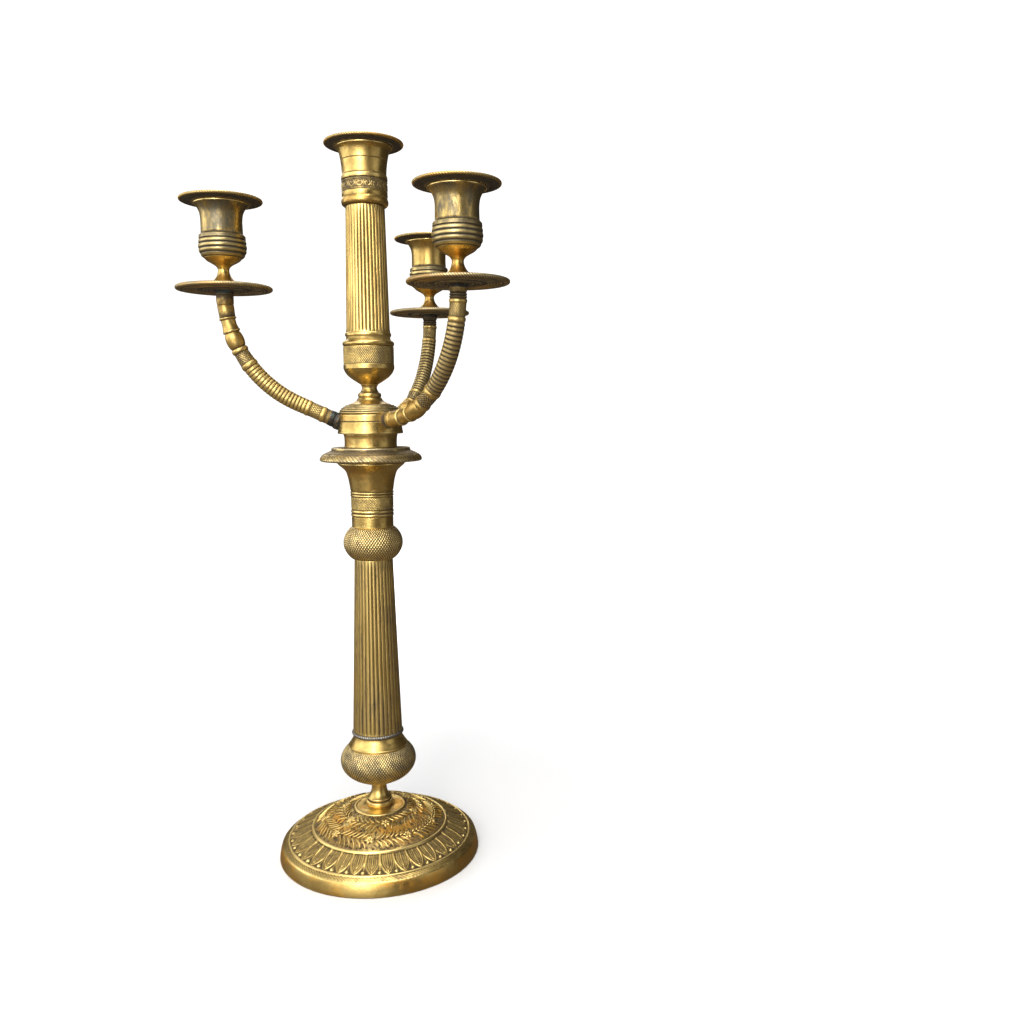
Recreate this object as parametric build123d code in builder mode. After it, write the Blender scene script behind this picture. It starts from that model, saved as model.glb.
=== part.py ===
from build123d import *
import os
from math import cos, pi, radians, sin, tan

# Three-branch brass candelabra that stands on a plain candlestick. The branch unit plugs into the
# candlestick's nozzle through a loose drip pan. Millimetres, +Z up, origin on the centre line at
# table level, one arm along -X.

# --- candlestick: radii and heights of the seats between its stacked pieces ---
BASE_RADIUS = 69.5
RIM_TOP_RADIUS = 67.0
RIM_HEIGHT = 9.5
FOOT_RING_WIDTH = 3.2
BASE_WALL = 2.2
BASE_SEAT_Z = 28.7
DISH_LIP_RADIUS = 17.3
DISH_LIP_Z = 31.9
STEM_RING_Z = 32.4
STEM_RING_RADIUS = 9.0
STEM_Z = 36.8
KNOP_Z = 49.6
COLLAR_Z = 75.9
ROPE_Z = 84.4
LOWER_COLUMN_Z = 87.0
UPPER_KNOP_Z = 208.3
NOZZLE_Z = 230.4
NOZZLE_LIP_Z = 273.9
LOWER_KNOP_RADIUS, LOWER_KNOP_HALF_HEIGHT, LOWER_KNOP_CENTRE = 25.9, 16.5, 65.7
UPPER_KNOP_RADIUS, UPPER_KNOP_HALF_HEIGHT, UPPER_KNOP_CENTRE = 19.8, 15.5, 219.5
KNOP_WALL = 3.5
LOWER_KNOP_FLOOR = 4.6
UPPER_KNOP_FLOOR = 3.0
LOWER_COLUMN_FOOT_RADIUS, LOWER_COLUMN_TOP_RADIUS = 16.9, 13.1
UPPER_COLUMN_FOOT_RADIUS, UPPER_COLUMN_TOP_RADIUS = 14.6, 12.8
COLUMN_BORE = 9.5
LOWER_COLUMN_FLUTES, UPPER_COLUMN_FLUTES = 33, 34
FLUTE_DEPTH = 0.75
FLUTE_SHARE = 0.86
FLUTE_MARGIN = 1.5
NOZZLE_FLOOR_Z = 246.0
NOZZLE_RING_HEIGHTS = (238.6, 241.0, 252.0, 254.2)
NOZZLE_RING_RADIUS, NOZZLE_RING_WIDTH = 14.6, 1.2
LIP_RADIUS = 22.4

# --- branch unit ---
PAN_LEDGE_Z = 284.3
PAN_RADIUS = 34.2
HUB_Z = 293.6
HUB_FOOT_RADIUS, HUB_LINE_RADIUS, HUB_TOP_RADIUS = 21.9, 21.0, 20.5
HUB_LINE_HEIGHT = 8.1
HUB_BORE = 17.3
HUB_CAP_Z = 306.5
HUB_CAP_RADIUS = 20.3
NECK_Z = 314.7
COLUMN_CUP_Z = 326.4
UPPER_COLUMN_Z = 360.3
TOP_SOCKET_Z = 441.8
TOP_SOCKET_FLOOR_Z = 450.5
TOP_LIP_Z = 479.7
TOP_LIP_RADIUS = 18.3

# --- candle fittings, shared by all four lights ---
CANDLE_BORE = 11.0
SLEEVE_WALL = 0.82
SOCKET_BORE = 11.9
SLEEVE_LENGTH = 9.0
BOBECHE_RADIUS = 25.7
BOBECHE_RIM_RISE = 3.0
SPIGOT_RADIUS = CANDLE_BORE - 0.08
SPIGOT_FOOT_Z = 248.0
SPIGOT_CAP = 4.6

# --- fasteners ---
ROD_RADIUS = 3.0
ROD_TAIL = 2.5
ROD_CLEARANCE = 0.2
THREAD_CLEARANCE = 0.05
NUT_ACROSS_FLATS = 10.0
NUT_HEIGHT = 5.0
WASHER_RADIUS = 9.0
WASHER_HEIGHT = 1.5
CUP_SCREW_RADIUS = 1.5
ARM_STUD_RADIUS = 2.5
ARM_STUD_LENGTH = 18.5
ARM_STUD_INSET = 2.5
ARM_STUD_BORE = 18.0
CUP_SCREW_BORE = 9.0

# --- arms: name, azimuth and rise at the hub in degrees, reach to the candle axis,
#     height of the drip pan, radius of the bend ---
ARM_RADIUS = 5.1
ARM_RING_RADIUS = 5.6
ARM_RING_SHARES = (0.135, 0.34, 0.44, 0.86, 0.95)
ARM_RING_WIDTH = 2.4
ARM_BALL_SHARE = 0.27
ARM_BALL_RADIUS = 5.8
ARM_BALL_LENGTH = 9.6
ARM_BALL_TAPER = 5
ARM_HUB_Z, ARM_REFERENCE_RADIUS = 302.8, 22.9
ARMS = (
    ("left", 180.0, 25.0, 91.0, 387.7, 76.0),
    ("front", -60.0, 6.0, 99.5, 383.0, 75.0),
    ("back", 60.0, 6.0, 99.5, 383.0, 75.0),
)
REVERSED_ARM = "left"
ARM_SADDLE_GAP = 0.05
ARM_START_RADIUS = 18.0
HUB_COLLAR_LENGTH = 5.0
PAN_COLLAR_HEIGHT = 3.0
DRIP_PAN_RADIUS = 30.2
PAN_UNDERSIDE = -1.0
CUP_SEAT = 2.5
CUP_FLOOR = 26.0
CUP_LIP = 53.3
CUP_LIP_RADIUS = 17.2
CUP_STEM_BORE_TOP = 17.0


def vertical_plane(azimuth, reach=0.0):
    """Drawing plane through a vertical line at the given reach: local x outward, local y up."""
    out = Vector(cos(radians(azimuth)), sin(radians(azimuth)), 0)
    return Plane(origin=out * reach, x_dir=out, z_dir=out.cross(Vector(0, 0, 1)))


def knop_radius(radius, half_height, centre, z):
    """Radius of an oblate knop at height z."""
    return radius * (1 - ((z - centre) / half_height) ** 2) ** 0.5


def knop_curve(radius, half_height, centre, z_from, z_to, steps=8):
    """Points along an oblate knop's side, from one height to another."""
    heights = [z_from + (z_to - z_from) * i / steps for i in range(steps + 1)]
    return [(knop_radius(radius, half_height, centre, z), z) for z in heights]


def save(piece, label):
    """Label one piece and write it to its own file."""
    piece.label = label
    export_step(piece, f"parts/{label}.step")


os.makedirs("parts", exist_ok=True)

# ------------------------------------------------------------------ candlestick
# Hollow cast base: plain rim, stepped border, low dome and a smooth dish round the stem.
with BuildPart() as base_foot:
    with BuildSketch(Plane.XZ):
        with BuildLine():
            Polyline(
                (ROD_RADIUS + ROD_CLEARANCE, BASE_SEAT_Z),
                (ROD_RADIUS + ROD_CLEARANCE, STEM_RING_Z),
                (STEM_RING_RADIUS + 0.6, STEM_RING_Z),
                (13.0, DISH_LIP_Z - 0.9),
                (DISH_LIP_RADIUS - 0.8, DISH_LIP_Z),
                (DISH_LIP_RADIUS, DISH_LIP_Z),
                (18.2, 31.0),
            )
            Spline((18.2, 31.0), (32.0, 26.2), (45.4, 19.9))
            Polyline((45.4, 19.9), (45.9, 20.4), (47.4, 20.0), (48.4, 18.4), (62.6, 12.0))
            Polyline((62.6, 12.0), (63.3, 12.3), (64.4, 11.1), (RIM_TOP_RADIUS - 0.6, RIM_HEIGHT + 0.4))
            Polyline(
                (RIM_TOP_RADIUS - 0.6, RIM_HEIGHT + 0.4),
                (RIM_TOP_RADIUS, RIM_HEIGHT),
                (BASE_RADIUS - 0.3, 0.8),
                (BASE_RADIUS, 0.0),
                (BASE_RADIUS - FOOT_RING_WIDTH, 0.0),
                (RIM_TOP_RADIUS - BASE_WALL, RIM_HEIGHT - BASE_WALL),
                (62.3, 9.6),
                (48.0, 15.9),
                (45.0, 17.2),
            )
            Spline((45.0, 17.2), (31.6, 23.6), (18.4, 28.2))
            Polyline(
                (18.4, 28.2),
                (12.0, BASE_SEAT_Z),
                (ROD_RADIUS + ROD_CLEARANCE, BASE_SEAT_Z),
            )
        make_face()
    revolve(axis=Axis.Z)
save(base_foot.part, "base_foot")

with BuildPart() as base_washer:
    with BuildSketch(Plane.XY.offset(BASE_SEAT_Z - WASHER_HEIGHT)):
        Circle(WASHER_RADIUS)
        Circle(ROD_RADIUS + ROD_CLEARANCE, mode=Mode.SUBTRACT)
    extrude(amount=WASHER_HEIGHT)
save(base_washer.part, "base_washer")

with BuildPart() as base_nut:
    with BuildSketch(Plane.XY.offset(BASE_SEAT_Z - WASHER_HEIGHT - NUT_HEIGHT)):
        RegularPolygon(NUT_ACROSS_FLATS / 2, 6, major_radius=False)
        Circle(ROD_RADIUS + THREAD_CLEARANCE, mode=Mode.SUBTRACT)
    extrude(amount=NUT_HEIGHT)
    chamfer(base_nut.faces().sort_by(Axis.Z)[0].outer_wire().edges(), length=0.5)
save(base_nut.part, "base_nut")

lower_rod_foot_z = BASE_SEAT_Z - WASHER_HEIGHT - NUT_HEIGHT - ROD_TAIL
lower_rod_top_z = NOZZLE_FLOOR_Z - 5.0
with BuildPart() as lower_tie_rod:
    with BuildSketch(Plane.XY.offset(lower_rod_foot_z)):
        Circle(ROD_RADIUS)
    extrude(amount=lower_rod_top_z - lower_rod_foot_z)
    chamfer(lower_tie_rod.edges().filter_by(GeomType.CIRCLE), length=0.5)
save(lower_tie_rod.part, "lower_tie_rod")

with BuildPart() as stem_ring:
    with BuildSketch(Plane.XY.offset(STEM_RING_Z)):
        Circle(STEM_RING_RADIUS)
        Circle(ROD_RADIUS + ROD_CLEARANCE, mode=Mode.SUBTRACT)
    extrude(amount=STEM_Z - STEM_RING_Z)
    fillet(stem_ring.edges().filter_by(GeomType.CIRCLE).group_by(SortBy.RADIUS)[-1], radius=0.8)
save(stem_ring.part, "stem_ring")

with BuildPart() as short_stem:
    with BuildSketch(Plane.XZ):
        with BuildLine():
            Polyline(
                (ROD_RADIUS + ROD_CLEARANCE, KNOP_Z),
                (ROD_RADIUS + ROD_CLEARANCE, STEM_Z),
                (8.2, STEM_Z),
                (8.3, STEM_Z + 0.8),
            )
            Spline((8.3, STEM_Z + 0.8), (6.3, STEM_Z + 3.4), (5.15, STEM_Z + 8.0), (5.3, KNOP_Z))
            Line((5.3, KNOP_Z), (ROD_RADIUS + ROD_CLEARANCE, KNOP_Z))
        make_face()
    revolve(axis=Axis.Z)
save(short_stem.part, "short_stem")

# Oblate knops, cast hollow, knurled all over.
lower_knop_size = (LOWER_KNOP_RADIUS, LOWER_KNOP_HALF_HEIGHT, LOWER_KNOP_CENTRE)
lower_knop_core = (
    LOWER_KNOP_RADIUS - KNOP_WALL,
    LOWER_KNOP_HALF_HEIGHT - KNOP_WALL,
    LOWER_KNOP_CENTRE,
)
knop_mouth_z = COLLAR_Z - 2.0
with BuildPart() as lower_knop:
    with BuildSketch(Plane.XZ):
        with BuildLine():
            outer = Spline(*knop_curve(*lower_knop_size, KNOP_Z, COLLAR_Z))
            inner = Spline(*knop_curve(*lower_knop_core, knop_mouth_z, KNOP_Z + LOWER_KNOP_FLOOR))
            Polyline(outer @ 1, ((inner @ 0).X, COLLAR_Z), inner @ 0)
            Polyline(
                inner @ 1,
                (ROD_RADIUS + ROD_CLEARANCE, KNOP_Z + LOWER_KNOP_FLOOR),
                (ROD_RADIUS + ROD_CLEARANCE, KNOP_Z),
                outer @ 0,
            )
        make_face()
    revolve(axis=Axis.Z)
save(lower_knop.part, "lower_knop")

with BuildPart() as knop_collar:
    with BuildSketch(Plane.XZ):
        with BuildLine():
            Spline((20.3, COLLAR_Z + 1.0), (18.6, COLLAR_Z + 3.6), (16.9, COLLAR_Z + 6.2), (16.5, ROPE_Z))
            Polyline(
                (16.5, ROPE_Z),
                (ROD_RADIUS + ROD_CLEARANCE, ROPE_Z),
                (ROD_RADIUS + ROD_CLEARANCE, ROPE_Z - 3.0),
                (13.5, ROPE_Z - 3.0),
                (13.5, COLLAR_Z),
                (20.0, COLLAR_Z),
                (20.3, COLLAR_Z + 1.0),
            )
        make_face()
    revolve(axis=Axis.Z)
save(knop_collar.part, "knop_collar")

with BuildPart() as rope_ring:
    with BuildSketch(Plane.XY.offset(ROPE_Z)):
        Circle(LOWER_COLUMN_FOOT_RADIUS + 0.9)
        Circle(COLUMN_BORE, mode=Mode.SUBTRACT)
    extrude(amount=LOWER_COLUMN_Z - ROPE_Z)
    fillet(rope_ring.edges().filter_by(GeomType.CIRCLE).group_by(SortBy.RADIUS)[-1], radius=1.1)
save(rope_ring.part, "rope_ring")


def fluted_column(foot_z, top_z, foot_radius, top_radius, flutes):
    """Tapered tube with narrow rounded flutes all round, plain for a little at each end."""
    flute_radius = pi * (foot_radius + top_radius) / 2 / flutes * FLUTE_SHARE
    with BuildPart() as cutter:
        foot = (foot_radius - FLUTE_DEPTH + flute_radius, 0, foot_z + FLUTE_MARGIN)
        top = (top_radius - FLUTE_DEPTH + flute_radius * 0.94, 0, top_z - FLUTE_MARGIN)
        with BuildSketch(Plane(origin=foot, z_dir=Vector(*top) - Vector(*foot))):
            Circle(flute_radius)
        extrude(amount=(Vector(*top) - Vector(*foot)).length)
    with BuildPart() as column:
        with BuildSketch(Plane.XZ):
            with BuildLine():
                Polyline(
                    (COLUMN_BORE, foot_z),
                    (foot_radius, foot_z),
                    (top_radius, top_z),
                    (COLUMN_BORE, top_z),
                    close=True,
                )
            make_face()
        revolve(axis=Axis.Z)
        with PolarLocations(0, flutes):
            add(cutter.part, mode=Mode.SUBTRACT)
    return column.part


save(
    fluted_column(
        LOWER_COLUMN_Z,
        UPPER_KNOP_Z,
        LOWER_COLUMN_FOOT_RADIUS,
        LOWER_COLUMN_TOP_RADIUS,
        LOWER_COLUMN_FLUTES,
    ),
    "lower_column",
)

upper_knop_size = (UPPER_KNOP_RADIUS, UPPER_KNOP_HALF_HEIGHT, UPPER_KNOP_CENTRE)
upper_knop_core = (
    UPPER_KNOP_RADIUS - KNOP_WALL,
    UPPER_KNOP_HALF_HEIGHT - KNOP_WALL,
    UPPER_KNOP_CENTRE,
)
with BuildPart() as upper_knop:
    with BuildSketch(Plane.XZ):
        with BuildLine():
            outer = Spline(*knop_curve(*upper_knop_size, UPPER_KNOP_Z, NOZZLE_Z))
            inner = Spline(*knop_curve(*upper_knop_core, NOZZLE_Z - 2.6, UPPER_KNOP_Z + UPPER_KNOP_FLOOR))
            Polyline(outer @ 1, ((inner @ 0).X, NOZZLE_Z), inner @ 0)
            Polyline(
                inner @ 1,
                (ROD_RADIUS + ROD_CLEARANCE, UPPER_KNOP_Z + UPPER_KNOP_FLOOR),
                (ROD_RADIUS + ROD_CLEARANCE, UPPER_KNOP_Z),
                outer @ 0,
            )
        make_face()
    revolve(axis=Axis.Z)
save(upper_knop.part, "upper_knop")

# Nozzle: plain band, two pairs of fine rings round a knurled band, then a trumpet to the lip.
with BuildPart() as candlestick_nozzle:
    with BuildSketch(Plane.XZ):
        with BuildLine():
            Polyline(
                (ROD_RADIUS + THREAD_CLEARANCE, NOZZLE_FLOOR_Z - 4.0),
                (ROD_RADIUS + THREAD_CLEARANCE, NOZZLE_Z),
                (14.0, NOZZLE_Z),
                (14.1, 250.5),
                (14.5, 255.4),
            )
            Spline(
                (14.5, 255.4),
                (15.2, 260.5),
                (16.1, 264.8),
                (17.7, 269.1),
                (LIP_RADIUS - 0.3, NOZZLE_LIP_Z - 1.1),
            )
            Polyline(
                (LIP_RADIUS - 0.3, NOZZLE_LIP_Z - 1.1),
                (LIP_RADIUS, NOZZLE_LIP_Z - 0.6),
                (LIP_RADIUS, NOZZLE_LIP_Z),
                (SOCKET_BORE, NOZZLE_LIP_Z),
                (SOCKET_BORE, NOZZLE_FLOOR_Z),
                (0.0, NOZZLE_FLOOR_Z),
                (0.0, NOZZLE_FLOOR_Z - 4.0),
                (ROD_RADIUS + THREAD_CLEARANCE, NOZZLE_FLOOR_Z - 4.0),
            )
        make_face()
    revolve(axis=Axis.Z)
    for ring_z in NOZZLE_RING_HEIGHTS:
        with BuildSketch(Plane.XY.offset(ring_z - NOZZLE_RING_WIDTH / 2)):
            Circle(NOZZLE_RING_RADIUS)
            Circle(SOCKET_BORE + 1.0, mode=Mode.SUBTRACT)
        extrude(amount=NOZZLE_RING_WIDTH)
save(candlestick_nozzle.part, "candlestick_nozzle")

# Large loose pan between the candlestick and the branch unit, with its own sleeve.
with BuildPart() as main_pan:
    with BuildSketch(Plane.XZ):
        with BuildLine():
            Polyline(
                (CANDLE_BORE, NOZZLE_LIP_Z - SLEEVE_LENGTH),
                (CANDLE_BORE, PAN_LEDGE_Z),
                (26.2, PAN_LEDGE_Z),
                (26.6, PAN_LEDGE_Z - 1.8),
            )
            Spline(
                (26.6, PAN_LEDGE_Z - 1.8),
                (30.2, PAN_LEDGE_Z - 3.4),
                (33.2, PAN_LEDGE_Z - 6.4),
                (PAN_RADIUS, PAN_LEDGE_Z - 8.6),
            )
            Polyline(
                (PAN_RADIUS, PAN_LEDGE_Z - 8.6),
                (PAN_RADIUS - 1.0, PAN_LEDGE_Z - 9.0),
                (LIP_RADIUS + 2.6, PAN_LEDGE_Z - 8.8),
                (LIP_RADIUS + 1.0, NOZZLE_LIP_Z),
                (CANDLE_BORE + SLEEVE_WALL, NOZZLE_LIP_Z),
                (CANDLE_BORE + SLEEVE_WALL, NOZZLE_LIP_Z - SLEEVE_LENGTH),
                (CANDLE_BORE, NOZZLE_LIP_Z - SLEEVE_LENGTH),
            )
        make_face()
    revolve(axis=Axis.Z)
save(main_pan.part, "main_pan")

# ------------------------------------------------------------------ branch unit, centre
with BuildPart() as branch_spigot:
    with BuildSketch(Plane.XZ):
        with BuildLine():
            Polyline(
                (18.2, HUB_Z),
                (ROD_RADIUS + ROD_CLEARANCE, HUB_Z),
                (ROD_RADIUS + ROD_CLEARANCE, HUB_Z - SPIGOT_CAP),
                (8.0, HUB_Z - SPIGOT_CAP),
                (8.0, SPIGOT_FOOT_Z),
                (SPIGOT_RADIUS - 0.7, SPIGOT_FOOT_Z),
                (SPIGOT_RADIUS, SPIGOT_FOOT_Z + 1.5),
                (SPIGOT_RADIUS, PAN_LEDGE_Z),
                (17.6, PAN_LEDGE_Z),
            )
            ThreePointArc((17.6, PAN_LEDGE_Z), (17.5, (PAN_LEDGE_Z + HUB_Z) / 2), (18.2, HUB_Z))
        make_face()
    revolve(axis=Axis.Z)
save(branch_spigot.part, "branch_spigot")

upper_nut_z = HUB_Z - SPIGOT_CAP - NUT_HEIGHT
with BuildPart() as upper_nut:
    with BuildSketch(Plane.XY.offset(upper_nut_z)):
        RegularPolygon(NUT_ACROSS_FLATS / 2, 6, major_radius=False)
        Circle(ROD_RADIUS + THREAD_CLEARANCE, mode=Mode.SUBTRACT)
    extrude(amount=NUT_HEIGHT)
save(upper_nut.part, "upper_nut")

upper_rod_top_z = TOP_SOCKET_FLOOR_Z - 4.0
with BuildPart() as upper_tie_rod:
    with BuildSketch(Plane.XY.offset(upper_nut_z - ROD_TAIL)):
        Circle(ROD_RADIUS)
    extrude(amount=upper_rod_top_z - upper_nut_z + ROD_TAIL)
    chamfer(upper_tie_rod.edges().filter_by(GeomType.CIRCLE), length=0.5)
save(upper_tie_rod.part, "upper_tie_rod")


def hub_barrel(gap=0.0, shoulder=0.0):
    """Solid with the hub's barrel outline, grown sideways by gap, with a round shoulder on top."""
    with BuildPart() as barrel:
        with BuildSketch(Plane.XZ):
            with BuildLine():
                Polyline(
                    (0, HUB_Z),
                    (HUB_FOOT_RADIUS + gap, HUB_Z),
                    (HUB_FOOT_RADIUS + gap, HUB_Z + 0.8),
                    (HUB_LINE_RADIUS + gap, HUB_Z + HUB_LINE_HEIGHT),
                    (HUB_TOP_RADIUS + gap, HUB_CAP_Z),
                    (0, HUB_CAP_Z),
                    close=True,
                )
            make_face()
        revolve(axis=Axis.Z)
        if shoulder:
            with BuildSketch(Plane.XY.offset(HUB_CAP_Z)):
                Circle(HUB_CAP_RADIUS + gap)
            extrude(amount=shoulder)
    return barrel.part


def entry_plane(azimuth, rise, radius):
    """Plane across an arm's axis near the hub, its normal pointing outwards along the arm."""
    side = vertical_plane(azimuth)
    height = ARM_HUB_Z + (radius - ARM_REFERENCE_RADIUS) * tan(radians(rise))
    along = side.x_dir * cos(radians(rise)) + Vector(0, 0, sin(radians(rise)))
    return Plane(origin=side.from_local_coords(Vector(radius, height, 0)), z_dir=along)


hub_solid = hub_barrel()
hub_envelope = hub_barrel(ARM_SADDLE_GAP, shoulder=NECK_Z - HUB_CAP_Z)

with BuildPart() as hub_drum:
    add(hub_solid)
    with BuildSketch(Plane.XY.offset(HUB_Z + 3.4)):
        Circle(HUB_BORE)
    extrude(amount=HUB_CAP_Z - HUB_Z, mode=Mode.SUBTRACT)
    with BuildSketch(Plane.XY.offset(HUB_Z - 1.0)):
        Circle(ROD_RADIUS + ROD_CLEARANCE)
    extrude(amount=HUB_CAP_Z - HUB_Z, mode=Mode.SUBTRACT)
    for name, azimuth, rise, reach, pan_z, bend in ARMS:
        with BuildSketch(entry_plane(azimuth, rise, ARM_START_RADIUS - 3.0)):
            Circle(ARM_STUD_RADIUS + THREAD_CLEARANCE)
        extrude(amount=14.0, mode=Mode.SUBTRACT)
save(hub_drum.part, "hub_drum")

# Ringed dome that closes the drum.
with BuildPart() as hub_cap:
    with BuildSketch(Plane.XZ):
        with BuildLine():
            Polyline(
                (10.4, NECK_Z),
                (ROD_RADIUS + ROD_CLEARANCE, NECK_Z),
                (ROD_RADIUS + ROD_CLEARANCE, NECK_Z - 3.4),
                (9.0, NECK_Z - 3.4),
                (15.0, HUB_CAP_Z),
                (HUB_CAP_RADIUS - 0.2, HUB_CAP_Z),
                (HUB_CAP_RADIUS, HUB_CAP_Z + 0.9),
                (20.1, HUB_CAP_Z + 2.1),
                (19.7, HUB_CAP_Z + 2.7),
                (18.6, HUB_CAP_Z + 3.9),
                (18.1, HUB_CAP_Z + 4.4),
                (16.8, HUB_CAP_Z + 5.3),
                (15.9, HUB_CAP_Z + 5.9),
                (13.4, HUB_CAP_Z + 7.1),
                (10.4, NECK_Z),
            )
        make_face()
    revolve(axis=Axis.Z)
save(hub_cap.part, "hub_cap")

with BuildPart() as neck_spool:
    with BuildSketch(Plane.XZ):
        with BuildLine():
            Spline((10.2, NECK_Z), (8.6, NECK_Z + 1.5), (7.6, NECK_Z + 3.2))
            Polyline(
                (7.6, NECK_Z + 3.2),
                (7.6, NECK_Z + 5.8),
                (6.0, NECK_Z + 6.6),
            )
            Spline((6.0, NECK_Z + 6.6), (5.0, NECK_Z + 9.4), (5.9, COLUMN_CUP_Z))
            Polyline(
                (5.9, COLUMN_CUP_Z),
                (ROD_RADIUS + ROD_CLEARANCE, COLUMN_CUP_Z),
                (ROD_RADIUS + ROD_CLEARANCE, NECK_Z),
                (10.2, NECK_Z),
            )
        make_face()
    revolve(axis=Axis.Z)
save(neck_spool.part, "neck_spool")

# Bowl under the upper column, with a plain band, a knurled band and a torus above it.
with BuildPart() as column_cup:
    with BuildSketch(Plane.XZ):
        with BuildLine():
            Spline(
                (5.9, COLUMN_CUP_Z),
                (12.0, COLUMN_CUP_Z + 3.9),
                (15.6, COLUMN_CUP_Z + 7.4),
                (16.8, COLUMN_CUP_Z + 10.4),
            )
            Polyline(
                (16.8, COLUMN_CUP_Z + 10.4),
                (16.8, COLUMN_CUP_Z + 14.0),
                (16.6, COLUMN_CUP_Z + 25.0),
            )
            ThreePointArc(
                (16.6, COLUMN_CUP_Z + 25.0),
                (17.1, COLUMN_CUP_Z + 26.6),
                (16.2, COLUMN_CUP_Z + 28.2),
            )
            ThreePointArc(
                (16.2, COLUMN_CUP_Z + 28.2),
                (14.7, COLUMN_CUP_Z + 30.2),
                (14.9, COLUMN_CUP_Z + 32.0),
            )
            Polyline(
                (14.9, COLUMN_CUP_Z + 32.0),
                (15.3, COLUMN_CUP_Z + 32.8),
                (15.2, UPPER_COLUMN_Z),
                (COLUMN_BORE, UPPER_COLUMN_Z),
                (COLUMN_BORE, UPPER_COLUMN_Z - 4.0),
                (13.2, UPPER_COLUMN_Z - 7.0),
                (13.2, COLUMN_CUP_Z + 11.0),
                (9.0, COLUMN_CUP_Z + 6.0),
                (ROD_RADIUS + ROD_CLEARANCE, COLUMN_CUP_Z + 4.6),
                (ROD_RADIUS + ROD_CLEARANCE, COLUMN_CUP_Z),
                (5.9, COLUMN_CUP_Z),
            )
        make_face()
    revolve(axis=Axis.Z)
save(column_cup.part, "column_cup")

save(
    fluted_column(
        UPPER_COLUMN_Z,
        TOP_SOCKET_Z,
        UPPER_COLUMN_FOOT_RADIUS,
        UPPER_COLUMN_TOP_RADIUS,
        UPPER_COLUMN_FLUTES,
    ),
    "upper_column",
)

with BuildPart() as top_socket:
    with BuildSketch(Plane.XZ):
        with BuildLine():
            Polyline(
                (ROD_RADIUS + THREAD_CLEARANCE, TOP_SOCKET_FLOOR_Z - 3.0),
                (ROD_RADIUS + THREAD_CLEARANCE, TOP_SOCKET_Z),
                (13.6, TOP_SOCKET_Z),
                (15.0, TOP_SOCKET_Z + 1.2),
                (15.1, TOP_SOCKET_Z + 3.2),
                (14.6, TOP_SOCKET_Z + 4.2),
                (14.8, TOP_SOCKET_Z + 8.4),
                (15.0, TOP_SOCKET_Z + 8.8),
                (15.0, TOP_SOCKET_Z + 16.0),
                (14.6, TOP_SOCKET_Z + 17.4),
            )
            Spline(
                (14.6, TOP_SOCKET_Z + 17.4),
                (13.8, TOP_SOCKET_Z + 22.6),
                (14.5, TOP_SOCKET_Z + 30.4),
                (TOP_LIP_RADIUS - 0.2, TOP_LIP_Z - 0.8),
            )
            Polyline(
                (TOP_LIP_RADIUS - 0.2, TOP_LIP_Z - 0.8),
                (TOP_LIP_RADIUS, TOP_LIP_Z - 0.4),
                (TOP_LIP_RADIUS, TOP_LIP_Z),
                (SOCKET_BORE, TOP_LIP_Z),
                (SOCKET_BORE, TOP_SOCKET_FLOOR_Z),
                (0.0, TOP_SOCKET_FLOOR_Z),
                (0.0, TOP_SOCKET_FLOOR_Z - 3.0),
                (ROD_RADIUS + THREAD_CLEARANCE, TOP_SOCKET_FLOOR_Z - 3.0),
            )
        make_face()
    revolve(axis=Axis.Z)
save(top_socket.part, "top_socket")


def bobeche(azimuth, reach, lip_z, lip_radius):
    """Thin loose wax guard: a shallow saucer on a sleeve that drops into a candle socket."""
    side = vertical_plane(azimuth, reach)
    with BuildPart() as guard:
        with BuildSketch(side):
            with BuildLine():
                Polyline(
                    (CANDLE_BORE, lip_z - SLEEVE_LENGTH),
                    (CANDLE_BORE, lip_z + 0.7),
                    (BOBECHE_RADIUS - 4.2, lip_z + 1.2),
                    (BOBECHE_RADIUS - 2.2, lip_z + BOBECHE_RIM_RISE - 0.3),
                    (BOBECHE_RADIUS - 0.8, lip_z + BOBECHE_RIM_RISE),
                    (BOBECHE_RADIUS, lip_z + BOBECHE_RIM_RISE - 0.9),
                    (BOBECHE_RADIUS - 0.3, lip_z + BOBECHE_RIM_RISE - 1.7),
                    (lip_radius + 1.0, lip_z),
                    (CANDLE_BORE + SLEEVE_WALL, lip_z),
                    (CANDLE_BORE + SLEEVE_WALL, lip_z - SLEEVE_LENGTH),
                    close=True,
                )
            make_face()
        revolve(axis=Axis(side.origin, (0, 0, 1)))
    return guard.part


save(bobeche(0.0, 0.0, TOP_LIP_Z, TOP_LIP_RADIUS), "top_bobeche")


# ------------------------------------------------------------------ arms
def station_plane(name, centre_line, share):
    """Plane across an arm at a share of its length from the turned end, on top on the reversed arm."""
    inside_hub = ARM_REFERENCE_RADIUS - ARM_START_RADIUS
    if name == REVERSED_ARM:
        distance = centre_line.length - share * (centre_line.length - inside_hub - HUB_COLLAR_LENGTH)
    else:
        distance = inside_hub + share * (centre_line.length - inside_hub)
    return Plane(
        origin=centre_line.position_at(distance, position_mode=PositionMode.LENGTH),
        z_dir=centre_line.tangent_at(distance, position_mode=PositionMode.LENGTH),
    )


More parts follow.
